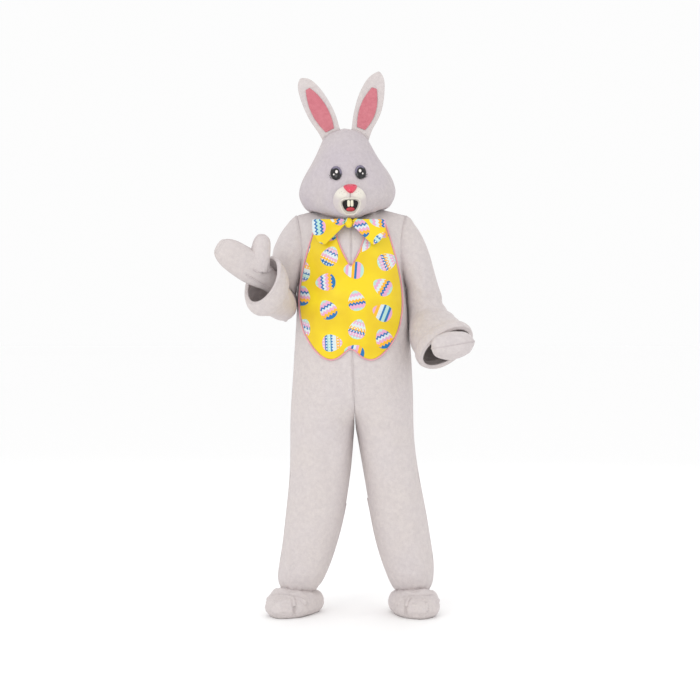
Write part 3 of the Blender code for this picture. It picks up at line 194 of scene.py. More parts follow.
# Where each ankle stands, and how far each foot is turned.
ANKLES = {"left": (0.229, -0.006), "right": (-0.198, -0.004)}
FOOT_TURN = {"left": math.radians(10), "right": math.radians(-24)}
# Grooves between the toes: angle from straight ahead towards the little toe, depth and half width.
TOE_GROOVES = ((-32, 0.012, 0.0055), (10, 0.005, 0.0060), (40, 0.004, 0.0060))
# Where the toe pad ends and the instep stands up behind it: how far ahead, its run, rise and crease.
INSTEP = {
    "ahead": 0.112, "run": 0.020, "rise": 0.014, "spread": 0.062, "depth": 0.012, "half_width": 0.0070,
    "fade": (0.088, 0.104),
}
# Lumps of a foot cover: place across and ahead of the ankle, height, radius and how far it stands out.
FOOT_LUMPS = (
    (-0.048, 0.080, 0.080, 0.020, 0.007), (0.030, 0.086, 0.080, 0.022, 0.009),
    (0.066, 0.045, 0.072, 0.022, 0.008), (-0.066, 0.040, 0.070, 0.020, 0.006),
    (-0.008, 0.090, 0.080, 0.010, -0.008), (0.052, 0.070, 0.078, 0.008, -0.007),
    (0.000, -0.085, 0.060, 0.030, 0.005),
)

# ---------------------------------------------------------------- the trim and the face
# Each piece of trim: rounds of subdivision, material and slot.
TRIM_NODES = {
    "vest_front": (3, "vest", "yellow_satin"), "vest_piping": (2, "piping", "pink_piping"),
    "bow_left": (2, "bow", "yellow_satin"), "bow_right": (2, "bow", "yellow_satin"),
    "bow_knot": (2, "bow", "yellow_satin"), "muzzle": (2, "muzzle", "cream_plush"),
    "lip": (2, "cream", "cream_plush"), "nose": (2, "nose", "glossy_nose"),
    "eye_left": (2, "eye_left", "black_eye"), "eye_right": (2, "eye_right", "black_eye"),
    "mouth": (2, "dark", "black_felt"), "tooth_left": (2, "ivory", "ivory_felt"),
    "tooth_right": (2, "ivory", "ivory_felt"), "tongue": (2, "tongue", "red_felt"),
    "ear_left_inner": (2, "pink", "pink_plush"), "ear_right_inner": (2, "pink", "pink_plush"),
    "sole_left": (2, "sole", "sole_fabric"), "sole_right": (2, "sole", "sole_fabric"),
    "zip_tape": (2, "tape", "zip_tape"),
}
# The bow's pleats: how far they run from the knot, their depth and count.
BOW_PLEATS = {"reach": 0.085, "depth": 0.0020, "count": 15}
# The muzzle: the middle between its cheeks, how far each lies aside, its half size and how far it rises.
MUZZLE = {
    "x": -0.0035, "z": 1.5546, "apart": 0.0310, "half_width": 0.0300, "half_height": 0.0260, "rise": 0.0095,
}
# The cream patch under the cheeks, and the ends of the stitched line under the nose.
CHIN = {"z": 1.5080, "half_width": 0.0420, "half_height": 0.0340}
PHILTRUM = (1.553, 1.531)
# What the lashes and that line are stitched on.
FACE_PIECES = ("head_front_plush", "muzzle_finished")
# Lashes: the angle each leaves the eye at, from straight to the side, and its length in eye half widths.
LASHES = ((-52, 0.20), (-38, 0.26), (-24, 0.22))
LASH_RADIUS = 0.0007
PHILTRUM_RADIUS = 0.0011
# The right mitten's gathered wrist and the seam under its thumb: places across and above the floor.
WRIST_LINES = {
    "wrist_gather": ((-0.379, 1.255), (-0.357, 1.244), (-0.336, 1.231), (-0.314, 1.218), (-0.292, 1.207)),
    "thumb_seam": (
        (-0.352, 1.2749), (-0.3428, 1.2691), (-0.3363, 1.2658), (-0.2991, 1.2666), (-0.2925, 1.272),
        (-0.2881, 1.2782),
    ),
}
WRIST_RADIUS = 0.0036
# The zip: its teeth's pitch and its stitches', how far aside these run, and what is left free at the ends
# of the tape and of the slider. Then a tooth's size, lift and way off the middle, and a stitch's size.
ZIP = {"pitch": 0.0030, "stitch": 0.0045, "aside": 0.0100, "end": 0.012, "slider": 0.002}
TOOTH = {"size": (0.0042, 0.0018, 0.0017), "lift": 0.0006, "aside": 0.0012}
STITCH_SIZE = (0.0007, 0.0007, 0.0024)
# Where the back seam opens past each end of the zip: which end, how far the closing roll runs, its radius.
ZIP_TACKS = (("zip_tack_low", 0, -0.045, 0.0065), ("zip_tack_high", 1, 0.030, 0.0065))
# How far aside of the gap the cloth is measured.
TACK_ASIDE = 0.016


# ================================================================ shader helpers
class Shader:
    """A material and short calls that add its nodes."""

    def __init__(self, name, **fixed):
        self.material = bpy.data.materials.new(name)
        self.material.use_nodes = True
        self.tree = self.material.node_tree
        self.surface = self.tree.nodes["Principled BSDF"]
        self.place = self.tree.nodes.new("ShaderNodeTexCoord").outputs["Object"]
        for socket, value in fixed.items():
            self.surface.inputs[socket.replace("_", " ")].default_value = value

    def feed(self, socket, value):
        if isinstance(value, bpy.types.NodeSocket):
            self.tree.links.new(value, socket)
        elif value is not None:
            socket.default_value = value

    def add(self, kind, *values, out=0, **settings):
        node = self.tree.nodes.new("ShaderNode" + kind)
        for key, value in settings.items():
            setattr(node, key, value)
        for socket, value in zip(node.inputs, values):
            self.feed(socket, value)
        return node.outputs[out]

    def math(self, operation, *values):
        return self.add("Math", *values, operation=operation)

    def vector(self, operation, *values, out=0):
        return self.add("VectorMath", *values, operation=operation, out=out)

    def parts(self, vector):
        node = self.tree.nodes.new("ShaderNodeSeparateXYZ")
        self.feed(node.inputs[0], vector)
        return node.outputs

    def noise(self, scale, detail=2.0):
        node = self.tree.nodes.new("ShaderNodeTexNoise")
        self.feed(node.inputs["Vector"], self.place)
        node.inputs["Scale"].default_value = scale
        node.inputs["Detail"].default_value = detail
        return node.outputs[0]

    def mix(self, share, a, b):
        return self.add("MixRGB", share, a, b)

    def step(self, value, low, high):
        """0 below low, 1 above high, straight between."""
        node = self.tree.nodes.new("ShaderNodeMapRange")
        self.feed(node.inputs["Value"], value)
        self.feed(node.inputs["From Min"], low)
        self.feed(node.inputs["From Max"], high)
        return node.outputs[0]

    def scaled(self, vector, share):
        node = self.tree.nodes.new("ShaderNodeVectorMath")
        node.operation = "SCALE"
        self.feed(node.inputs[0], vector)
        node.inputs["Scale"].default_value = share
        return node.outputs[0]

    def wave(self, scale, direction):
        node = self.tree.nodes.new("ShaderNodeTexWave")
        node.bands_direction = direction
        self.feed(node.inputs["Vector"], self.place)
        node.inputs["Scale"].default_value = scale / 20
        return node.outputs["Fac"]

    def bands(self, level, row):
        """Bands of ink up an egg: each row's pairs are where a band starts and its ink."""
        node = self.tree.nodes.new("ShaderNodeValToRGB")
        node.color_ramp.interpolation = "CONSTANT"
        for i, (start, ink) in enumerate(row):
            stop = node.color_ramp.elements[i] if i < 2 else node.color_ramp.elements.new(start)
            stop.position = start
            stop.color = INK[ink]
        self.feed(node.inputs[0], level)
        return node.outputs[0]

    def bump(self, height, strength, distance, normal=None):
        node = self.tree.nodes.new("ShaderNodeBump")
        node.inputs["Strength"].default_value = strength
        node.inputs["Distance"].default_value = distance
        self.feed(node.inputs["Height"], height)
        if normal is not None:
            self.feed(node.inputs["Normal"], normal)
        return node.outputs[0]

    def done(self, colour=None, normal=None, roughness=None):
        for name, value in (("Base Color", colour), ("Normal", normal), ("Roughness", roughness)):
            if value is not None:
                self.feed(self.surface.inputs[name], value)
        return self.material


def rgb(red, green, blue):
    """A display colour, 0 to 255, as the linear colour that a shader takes."""
    shares = [c / 255 for c in (red, green, blue)]
    linear = [((c + 0.055) / 1.055) ** 2.4 if c > 10 / 255 else c / 12.92 for c in shares]
    return (*linear, 1.0)


INK = {
    "yellow": rgb(240, 211, 5), "gold": rgb(228, 192, 4), "blue": rgb(8, 112, 178),
    "mint": rgb(180, 220, 208), "pink": rgb(228, 168, 200), "orange": rgb(255, 184, 34),
    "pale": rgb(214, 226, 228),
}
EGG_HALF = (0.0305, 0.0370)
# Each way of dyeing an egg: where each band starts, from the egg's foot to its tip, and its ink.
EGG_BANDS = (
    (
        (0.0, "mint"), (0.16, "pink"), (0.34, "blue"), (0.46, "orange"), (0.60, "pale"), (0.76, "pink"),
        (0.9, "mint"),
    ),
    (
        (0.0, "pink"), (0.14, "blue"), (0.26, "mint"), (0.42, "blue"), (0.52, "pale"), (0.70, "orange"),
        (0.86, "pink"),
    ),
    (
        (0.0, "blue"), (0.20, "orange"), (0.36, "pink"), (0.50, "pale"), (0.62, "blue"), (0.72, "pink"),
        (0.88, "mint"),
    ),
)
# Whisker dots on each cheek: how far aside of the nose, and the height above the floor.
WHISKER_DOTS = ((0.022, 1.556), (0.031, 1.560), (0.029, 1.550), (0.039, 1.554))
# Piles: name, their bright lit colour, their shaded colour (painted shade in the gaps of tufts and nap) and
# their warmer colour (painted highlight patches, partly uneven tone), and their sheen.
PILES = (
    ("white", (217, 209, 208), (186, 177, 179), (220, 211, 205), 0.12),
    ("head", (203, 194, 200), (174, 165, 170), (217, 209, 202), 0.12),
    ("cream", (232, 228, 218), (206, 198, 186), (234, 226, 212), 0.12),
    ("pink", (212, 130, 140), (178, 88, 102), (216, 142, 148), 0.1),
)
# The seam pile's bright lit colour, shaded colour (painted shade in tuft and nap gaps) and warmer colour
# (painted highlight patches, partly uneven tone).
SEAM_INKS = ((208, 199, 199), (182, 173, 175), (210, 201, 196))


def plush(name, bright, shade, warm_highlight_tone, sheen):
    """Short pile: random patches of a warmer colour (partly uneven tone, partly painted highlight), painted
    shade between soft tufts and in a fine nap, and their bumps.
    """
    s = Shader(name, Roughness=0.92, Sheen_Weight=sheen, Sheen_Roughness=0.4, Specular_IOR_Level=0.2)
    tone_and_highlight_patches = s.step(s.noise(6.0, 3.0), 0.35, 0.65)
    tufts = s.step(s.noise(70.0, 3.0), 0.32, 0.68)
    # Random patches lean towards the warmer colour: partly uneven tone, partly painted highlight.
    colour = s.mix(s.math("MULTIPLY", tone_and_highlight_patches, 0.45), bright, warm_highlight_tone)
    # Painted shade: the gaps between tufts are darkened towards the shaded colour.
    colour = s.mix(s.math("MULTIPLY", s.math("SUBTRACT", 1.0, tufts), 0.30), colour, shade)
    nap = s.noise(420.0, 3.0)
    # Painted shade: the nap's low spots are darkened towards the shaded colour.
    colour = s.mix(s.math("MULTIPLY", s.step(nap, 0.60, 0.30), 0.35), colour, shade)
    normal = s.bump(s.noise(70.0, 3.0), 0.5, 0.004)
    normal = s.bump(nap, 0.7, 0.0016, normal)
    return s.done(colour, normal)


def egg_cells(s, shift, spacing):
    """Each place's spot in its own egg, and that egg's draws: its turn, kind of pattern and dye."""
    x, _, z = s.parts(s.vector("ADD", s.place, shift))
    flat = s.add("CombineXYZ", x, z, 0.0)
    leaned = s.add("CombineXYZ", x, s.math("MULTIPLY_ADD", x, 0.5, z), 0.0)
    cells = s.tree.nodes.new("ShaderNodeTexVoronoi")
    cells.voronoi_dimensions = "2D"
    cells.inputs["Randomness"].default_value = 0.26
    s.feed(cells.inputs["Vector"], s.scaled(leaned, 1 / spacing))
    cells.inputs["Scale"].default_value = 1.0
    draws = s.tree.nodes.new("ShaderNodeSeparateColor")
    s.feed(draws.inputs[0], cells.outputs["Color"])
    turn, kind, dye = draws.outputs
    seat = s.parts(s.scaled(cells.outputs["Position"], spacing))
    middle = s.add("CombineXYZ", seat[0], s.math("MULTIPLY_ADD", seat[0], -0.5, seat[1]), 0.0)
    away = s.vector("SUBTRACT", flat, middle)
    angle = s.math("MULTIPLY", s.math("SUBTRACT", turn, 0.5), 3.4)
    spun = s.tree.nodes.new("ShaderNodeVectorRotate")
    spun.rotation_type = "Z_AXIS"
    s.feed(spun.inputs["Vector"], away)
    s.feed(spun.inputs["Angle"], angle)
    return spun.outputs[0], turn, kind, dye


def print_cloth(name, shift, spacing=0.102):
    """Yellow satin printed with decorated eggs: each cell's own turn, bands, zigzags or waves."""
    s = Shader(name, Roughness=0.42, Sheen_Weight=0.15, Specular_IOR_Level=0.45)
    spot, turn, kind, dye = egg_cells(s, shift, spacing)
    across, along, _ = s.parts(spot)
    width = s.math("MULTIPLY_ADD", along, -0.22, EGG_HALF[0])
    inside = s.math(
        "ADD", s.math("POWER", s.math("DIVIDE", across, width), 2.0),
        s.math("POWER", s.math("DIVIDE", along, EGG_HALF[1]), 2.0),
    )
    egg = s.math("LESS_THAN", inside, 1.0)
    zigzag = s.math("PINGPONG", across, 0.006)
    ripple = s.math("MULTIPLY", s.math("SINE", s.math("MULTIPLY", across, 480.0)), 0.0028)
    sharp = s.math("LESS_THAN", kind, 0.30)
    wavy = s.math("GREATER_THAN", kind, 0.58)
    moved = s.math("ADD", s.math("MULTIPLY", zigzag, sharp), s.math("MULTIPLY", ripple, wavy))
    level = s.step(s.math("ADD", along, moved), -EGG_HALF[1], EGG_HALF[1])
    inks = [s.bands(level, row) for row in EGG_BANDS]
    ink = s.mix(s.math("GREATER_THAN", dye, 0.36), inks[0], inks[1])
    ink = s.mix(s.math("GREATER_THAN", dye, 0.68), ink, inks[2])
    spots = s.tree.nodes.new("ShaderNodeTexVoronoi")
    spots.voronoi_dimensions = "2D"
    spots.inputs["Randomness"].default_value = 0.0
    spots.inputs["Scale"].default_value = 95.0
    s.feed(spots.inputs["Vector"], spot)
    on_dot = s.math("LESS_THAN", spots.outputs["Distance"], 0.26)
    dotted = s.math("MULTIPLY", on_dot, s.math("GREATER_THAN", turn, 0.55))
    ink = s.mix(dotted, ink, INK["pale"])
    ground = s.mix(s.step(s.noise(9.0, 2.0), 0.35, 0.65), INK["yellow"], INK["gold"])
    colour = s.mix(egg, ground, ink)
    weave = s.math("MULTIPLY", s.wave(900.0, "DIAGONAL"), 0.5)
    return s.done(colour, s.bump(s.noise(26.0, 2.0), 0.12, 0.004, s.bump(weave, 0.15, 0.0003)))


def eye_material(side, box):
    """Glossy black, a grey-lilac crescent above towards the nose and two painted highlights."""
    centre, half = (box[0] + box[1]) / 2, (box[1] - box[0]) / 2
    s = Shader(
        f"eye_gloss_{side}", Roughness=0.14, Coat_Weight=0.25, Coat_Roughness=0.03, Specular_IOR_Level=0.35
    )
    x, _, z = s.parts(s.vector("SUBTRACT", s.place, tuple(centre)))
    nose = -1 if side == "left" else 1
    u = s.math("DIVIDE", x, half.x * nose)
    v = s.math("DIVIDE", z, half.z)
    flat = s.add("CombineXYZ", u, v, 0.0)
    reach = s.vector("LENGTH", flat, out=1)
    lean = s.math("ADD", s.math("MULTIPLY", u, 0.45), s.math("MULTIPLY", v, 0.85))
    ring = s.math("MULTIPLY", s.step(reach, 0.60, 0.72), s.step(lean, 0.10, 0.42))
    colour = s.mix(ring, rgb(16, 14, 16), rgb(132, 124, 148))
    colour = s.mix(s.step(s.noise(160.0), 0.3, 0.8), colour, s.mix(0.5, colour, rgb(30, 26, 34)))
    for place, size in (((0.10, 0.16, 0), 0.25), ((-0.36, -0.22, 0), 0.15)):
        away = s.vector("DISTANCE", flat, place, out=1)
        colour = s.mix(s.step(away, size, size - 0.06), colour, rgb(238, 232, 228))
    return s.done(colour, s.bump(s.noise(240.0), 0.04, 0.0004))


def muzzle_material():
    """Cream pile on the muzzle's two cheeks and round the mouth, fading into white, with whisker dots and
    painted shade between its tufts.
    """
    s = Shader("muzzle_pile", Roughness=0.92, Sheen_Weight=0.12, Specular_IOR_Level=0.2)
    x, _, z = s.parts(s.place)
    aside = s.math("ABSOLUTE", s.math("SUBTRACT", x, MUZZLE["x"]))
    height = s.math("ADD", z, SHOULDER_HEIGHT)

    def ellipse(apart, spot):
        across = s.math("DIVIDE", s.math("SUBTRACT", aside, apart), spot["half_width"])
        up = s.math("DIVIDE", s.math("SUBTRACT", height, spot["z"]), spot["half_height"])
        return s.vector("LENGTH", s.add("CombineXYZ", across, up, 0.0), out=1)

    reach = s.math("SMOOTH_MIN", ellipse(MUZZLE["apart"], MUZZLE), ellipse(0.0, CHIN), 0.3)
    reach = s.math("ADD", reach, s.math("MULTIPLY", s.math("SUBTRACT", s.noise(45.0), 0.5), 0.35))
    colour = s.mix(s.step(reach, 0.55, 1.15), rgb(232, 227, 216), rgb(208, 199, 199))
    # Painted shade: the gaps between tufts are darkened towards a shaded cream.
    tufts = s.step(s.noise(70.0, 3.0), 0.32, 0.68)
    colour = s.mix(s.math("MULTIPLY", s.math("SUBTRACT", 1.0, tufts), 0.2), colour, rgb(205, 198, 188))
    flat = s.add("CombineXYZ", aside, height, 0.0)
    for place in WHISKER_DOTS:
        away = s.vector("DISTANCE", flat, (*place, 0), out=1)
        colour = s.mix(s.math("MULTIPLY", s.step(away, 0.0016, 0.0006), 0.6), colour, rgb(120, 112, 110))
    normal = s.bump(s.noise(70.0, 3.0), 0.4, 0.003)
    return s.done(colour, s.bump(s.noise(420.0, 3.0), 0.6, 0.0012, normal))


def fabric(name, colour, dark, roughness, scale=1100.0, strength=0.35):
    """Woven or felted cloth: a fine weave and slight unevenness of colour."""
    s = Shader(name, Roughness=roughness, Sheen_Weight=0.2)
    weave = s.math("MULTIPLY", s.wave(scale, "X"), s.wave(scale, "Z"))
    mixed = s.mix(s.math("MULTIPLY", s.step(s.noise(60.0, 3.0), 0.3, 0.7), 0.5), colour, dark)
    mixed = s.mix(s.math("MULTIPLY", weave, 0.25), mixed, dark)
    return s.done(mixed, s.bump(weave, strength, 0.0004, s.bump(s.noise(300.0, 3.0), 0.3, 0.0006)))


def glossy(name, colour, dark, roughness, coat):
    """Moulded plastic or painted vinyl with a slight unevenness."""
    s = Shader(name, Roughness=roughness, Coat_Weight=coat, Coat_Roughness=0.05)
    mixed = s.mix(s.step(s.noise(60.0), 0.35, 0.75), colour, dark)
    return s.done(mixed, s.bump(s.noise(220.0), 0.08, 0.0005))


def metal(name):
    """Brushed zinc, finely scratched."""
    s = Shader(name, Metallic=1.0)
    scratches = s.noise(900.0, 4.0)
    colour = s.mix(s.step(scratches, 0.3, 0.7), (0.62, 0.62, 0.63, 1), (0.48, 0.48, 0.50, 1))
    return s.done(colour, s.bump(scratches, 0.1, 0.0002), s.step(s.noise(90.0), -0.6, 1.8))


def make_materials():
    """Every material, by the name that the tables above know it by."""
    made = {}
    for name, *inks, sheen in PILES:
        made[name] = plush(f"{name}_plush_pile", *(rgb(*ink) for ink in inks), sheen)
    made["vest"] = print_cloth("printed_satin_vest", (0.4, 0.0, 2.03))
    made["bow"] = print_cloth("printed_satin_bow", (0.13, 0.0, 0.51), 0.078)
    made["piping"] = fabric("pink_piping_cloth", rgb(246, 168, 178), rgb(226, 138, 152), 0.5, 1500.0)
    made["nose"] = glossy("nose_gloss", rgb(228, 58, 88), rgb(205, 40, 72), 0.18, 0.7)
    made["dark"] = fabric("mouth_felt", rgb(18, 14, 16), rgb(30, 24, 26), 0.95)
    made["ivory"] = fabric("tooth_felt", rgb(240, 236, 216), rgb(222, 215, 190), 0.6)
    made["tongue"] = glossy("tongue_vinyl", rgb(200, 30, 52), rgb(170, 18, 40), 0.3, 0.4)
    made["sole"] = fabric("sole_cloth", rgb(176, 170, 168), rgb(140, 134, 132), 0.9, 500.0, 0.7)
    made["tape"] = fabric("zip_tape_cloth", rgb(222, 216, 214), rgb(196, 190, 188), 0.8, 900.0, 0.5)
    made["metal"] = metal("zip_metal_brushed")
    made["seam"] = plush("seam_pile", *(rgb(*ink) for ink in SEAM_INKS), 0.12)
    made["philtrum"] = fabric("philtrum_thread", rgb(150, 128, 124), rgb(120, 100, 98), 0.9)
    made["coil"] = fabric("zip_coil", rgb(206, 200, 200), rgb(178, 172, 172), 0.5)
    made["lash"] = fabric("lash_thread", rgb(40, 34, 38), rgb(20, 16, 18), 0.7)
    for side in ("left", "right"):
        made[f"eye_{side}"] = eye_material(side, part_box(f"eye_{side}"))
    made["muzzle"] = muzzle_material()
    return made


# ================================================================ meshes
def curved(node, levels, crease=1.0):
    """A node's mesh with its quads restored and subdivided, its cut edges kept."""
    bm = bmesh.new()
    bm.from_mesh(frame["nodes"][node].data)
    bmesh.ops.remove_doubles(bm, verts=bm.verts, dist=1e-5)
    bmesh.ops.join_triangles(
        bm, faces=bm.faces, angle_face_threshold=math.radians(35), angle_shape_threshold=math.radians(50)
    )
    layer = bm.edges.layers.float.get("crease_edge") or bm.edges.layers.float.new("crease_edge")
    for edge in bm.edges:
        if len(edge.link_faces) == 2 and edge.calc_face_angle() > math.radians(50):
            edge[layer] = crease
    mesh = bpy.data.meshes.new(node)
    bm.to_mesh(mesh)
    bm.free()
    holder = bpy.data.objects.new("holder", mesh)
    bpy.context.scene.collection.objects.link(holder)
    step = holder.modifiers.new("subdivide", "SUBSURF")
    step.levels = levels
    step.render_levels = levels
    bpy.context.view_layer.update()
    result = bpy.data.meshes.new_from_object(holder.evaluated_get(bpy.context.evaluated_depsgraph_get()))
    bpy.data.objects.remove(holder)
    result.shade_smooth()
    return result


def points_of(mesh):
    points = np.empty(len(mesh.vertices) * 3)
    mesh.vertices.foreach_get("co", points)
    return points.reshape(-1, 3)


def set_points(mesh, points):
    mesh.vertices.foreach_set("co", points.reshape(-1))
    mesh.update()


def outward(mesh, tree):
    """For each point, the way out of the tube or shell that its wall is part of, even over both skins."""
    points = points_of(mesh)
    normals = np.empty(len(mesh.vertices) * 3)
    mesh.vertices.foreach_get("normal", normals)
    field = normals.reshape(-1, 3).copy()
    for i, (point, normal) in enumerate(zip(points, field)):
        start = Vector(point) + Vector(normal) * 0.002
        if tree.ray_cast(start, Vector(normal), 0.45)[0] is not None:
            field[i] *= -1
    edges = np.empty(len(mesh.edges) * 2, int)
    mesh.edges.foreach_get("vertices", edges)
    a, b = edges.reshape(-1, 2).T
    for _ in range(SMOOTHING_ROUNDS):
        total = field.copy()
        np.add.at(total, a, field[b])
        np.add.at(total, b, field[a])
        field = total / np.maximum(np.linalg.norm(total, axis=1, keepdims=True), 1e-9)
    return field


def mesh_tree(meshes):
    """The surfaces of some meshes as one tree to measure against."""
    points, faces = [], []
    for mesh in meshes:
        first = len(points)
        points += [v.co.copy() for v in mesh.vertices]
        faces += [[first + i for i in p.vertices] for p in mesh.polygons]
    return BVHTree.FromPolygons(points, faces)


def tree_of(nodes):
    return mesh_tree([frame["nodes"][node].data for node in nodes])


def waves(points, seed, length, amount):
    """A soft uneven swell from a few crossing waves about this long."""
    random = np.random.default_rng(seed)
    total = np.zeros(len(points))
    for _ in range(9):
        way = random.normal(size=3)
        way *= 2 * math.pi / (length * random.uniform(0.7, 1.5)) / np.linalg.norm(way)
        total += np.sin(points @ way + random.uniform(0, 2 * math.pi))
    return total * amount / 3


def fold(points, line, half_width, depth):
    """How far a trough along a line of points sinks the cloth, with low shoulders beside it."""
    nearest = np.full(len(points), 9.0)
    share = np.zeros(len(points))
    for i, (a, b) in enumerate(zip(line, line[1:])):
        a, b = np.array(a), np.array(b)
        along = np.clip((points - a) @ (b - a) / max((b - a) @ (b - a), 1e-9), 0, 1)
        distance = np.linalg.norm(points - (a + along[:, None] * (b - a)), axis=1)
        closer = distance < nearest
        nearest[closer] = distance[closer]
        share[closer] = (i + along[closer]) / (len(line) - 1)
    ends = np.sin(math.pi * np.clip(share, 0, 1)) ** 0.7
    across = nearest / half_width
    uneven = 1 + 0.25 * np.sin(9 * share + 40 * depth / 0.004)
    return -depth * ends * uneven * (np.exp(-(across**2)) - 0.35 * np.exp(-((across - 1.9) ** 2)))


def on_tree(tree, side, start, end):
    """A line over a surface, between two (across, height) places seen from one side."""
    out = Vector(VIEWS[side])
    line = []
    for i in range(FOLD_POINTS):
        across = start[0] + (end[0] - start[0]) * i / (FOLD_POINTS - 1)
        height = start[1] + (end[1] - start[1]) * i / (FOLD_POINTS - 1) - SHOULDER_HEIGHT
        place = Vector((across, 0, height)) if out.x == 0 else Vector((0, across, height))
        hit = tree.ray_cast(place + out * 0.8, -out)[0]
        if hit is not None:
            line.append(hit)
    return line


def front_of(tree, x, z, lift):
    """The place on a surface, this far out of it, straight in front of (x, height)."""
    hit = tree.ray_cast(Vector((x, -0.8, z - SHOULDER_HEIGHT)), Vector((0, 1, 0)))[0]
    return hit + Vector((0, -lift, 0))


def behind(tree, x, z):
    """The place on a surface straight behind (x, z) and the way out of it, or None twice."""
    return tree.ray_cast(Vector((x, 0.8, z)), Vector((0, -1, 0)))[:2]


def free_share(points, tree):
    """0 where the cloth is sewn to or lies under something, 1 well away from it."""
    share = np.ones(len(points))
    for i, point in enumerate(points):
        hit = tree.find_nearest(Vector(point), SEAM_REACH)
        if hit[0] is not None:
            share[i] = hit[3] / SEAM_REACH
    return share * share * (3 - 2 * share)


def folds_on(node, points, tree):
    """How far all the folds that a node carries move its points."""
    moved = np.zeros(len(points))
    for row in FOLDS:
        spot = dict(zip(FOLD_COLUMNS, row))
        if not node.startswith(spot["carrier"]):
            continue
        line = on_tree(tree, spot["side"], spot["start"], spot["end"])
        if len(line) > 2:
            moved += fold(points, line, spot["half_width"], spot["depth"])
    return moved


def add_piece(name, mesh, material, slot, *nodes):
    """A finished mesh as a piece of the costume, in place of the nodes that it stands for."""
    mesh.name = name
    mesh.materials.clear()
    mesh.materials.append(material)
    piece = bpy.data.objects.new(name, mesh)
    bpy.context.scene.collection.objects.link(piece)
    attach(piece, "costume")
    if nodes:
        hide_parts(*nodes)
    return piece


def thread(name, points, radius, material):
    """A fine round thread through points."""
    curve = bpy.data.curves.new(name, "CURVE")
    curve.dimensions = "3D"
    curve.bevel_depth = radius
    curve.bevel_resolution = 2
    curve.use_fill_caps = True
    spline = curve.splines.new("POLY")
    spline.points.add(len(points) - 1)
    for spot, point in zip(spline.points, points):
        spot.co = (*point, 1)
    curve.materials.append(material)
    piece = bpy.data.objects.new(name, curve)
    bpy.context.scene.collection.objects.link(piece)
    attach(piece, "costume")


# ================================================================ plush panels and their seams
def gather_hem(points, node):
    """Uneven pleats where the elastic draws in a leg, and how far the hem hangs over the foot."""
    side = "left" if node.endswith("left") else "right"
    x, y = ANKLES[side]
    height = points[:, 2] - FLOOR
    near = np.clip(1 - (height - HEM["height"]) / HEM["reach"], 0, 1) ** 2
    angle = np.arctan2(points[:, 1] - y, points[:, 0] - x)
    turn = 1.0 if side == "left" else 2.6
    pleats = np.sin(HEM["count"] * angle + 2.2 * np.sin(2 * angle + turn) + 1.3 * np.sin(5 * angle))
    drop = 0.5 + 0.5 * np.sin(3 * angle + turn) * np.sin(5 * angle + 2 * turn)
    return HEM["pleat"] * near * pleats, -HEM["drop"] * near * near * drop


def shape_foot(points, side):
    """Toe grooves, creases over the instep and soft lumps of a foot cover."""
    x, y = ANKLES[side]
    turn = FOOT_TURN[side]
    across = (points[:, 0] - x) * math.cos(turn) + (points[:, 1] - y) * math.sin(turn)
    ahead = (points[:, 0] - x) * math.sin(turn) - (points[:, 1] - y) * math.cos(turn)
    outer = 1 if side == "left" else -1
    height = points[:, 2] - FLOOR
    above_sole = np.clip((height - 0.004) / 0.012, 0, 1)
    top = np.clip((height - 0.040) / 0.015, 0, 1)
    low, high = INSTEP["fade"]
    below_ankle = np.clip((high - height) / (high - low), 0, 1)
    edge = ahead - INSTEP["ahead"] + 1.6 * across**2 - 0.005 * np.sin(70 * across + outer)
    sunk = INSTEP["depth"] * top * np.exp(-((edge / INSTEP["half_width"]) ** 2))
    for angle, depth, half_width in TOE_GROOVES:
        angle = math.radians(angle * outer)
        aside = across * math.cos(angle) - (ahead - 0.06) * math.sin(angle)
        along = across * math.sin(angle) + (ahead - 0.06) * math.cos(angle)
        start = np.clip((along - 0.045) / 0.02, 0, 1) * np.clip(edge / 0.01 + 0.5, 0, 1)
        sunk = np.maximum(sunk, depth * start * np.exp(-((aside / half_width) ** 2)))
    moved = -sunk
    behind = np.clip((INSTEP["half_width"] - edge) / INSTEP["run"], 0, 1)
    middle = np.exp(-((across / INSTEP["spread"]) ** 2)) * np.clip(ahead / 0.03, 0, 1)
    moved += INSTEP["rise"] * top * below_ankle * middle * behind * behind * (3 - 2 * behind)
    for lump_x, lump_ahead, lump_up, radius, rise in FOOT_LUMPS:
        square = (across - lump_x * outer) ** 2 + (ahead - lump_ahead) ** 2 + (height - lump_up) ** 2
        moved += rise * np.exp(-square / radius**2) * below_ankle
    return moved * above_sole


def build_plush(materials):
    """Every plush panel: its solid's form, puffed between its seams, with its folds and gathers."""
    suit = [n for n in PLUSH_NODES if n.startswith("suit")]
    groups = {"suit": suit, "head": ["head_front", "head_back"]}
    made = {}
    for node, (levels, width, length, area) in PLUSH_NODES.items():
        mesh = curved(node, levels)
        kind, side = node.split("_")[:2]
        tree = tree_of(groups.get(kind) or [n for n in PLUSH_NODES if n.startswith(f"{kind}_{side}")])
        field = outward(mesh, tree)
        points = points_of(mesh)
        moved = PUFF + waves(points, **PLUSH_SWELL) + folds_on(node, points, tree)
        fall = np.zeros(len(points))
        if kind == "suit":
            pleats, fall = gather_hem(points, node)
            moved += pleats
        if kind == "foot":
            moved += shape_foot(points, side)
        share = free_share(points, tree_of([n for n in frame["nodes"] if n != node]))
        if kind == "foot":
            share = np.maximum(share, FOOT_SHARE)
        points = points + field * (moved * share)[:, None]
        points[:, 2] += fall
        set_points(mesh, points)
        pile = materials["head" if kind == "head" else "white"]
        piece = add_piece(f"{node}_plush", mesh, pile, "white_plush", node)
        made[node] = {"piece": piece, "field": field}
    return made


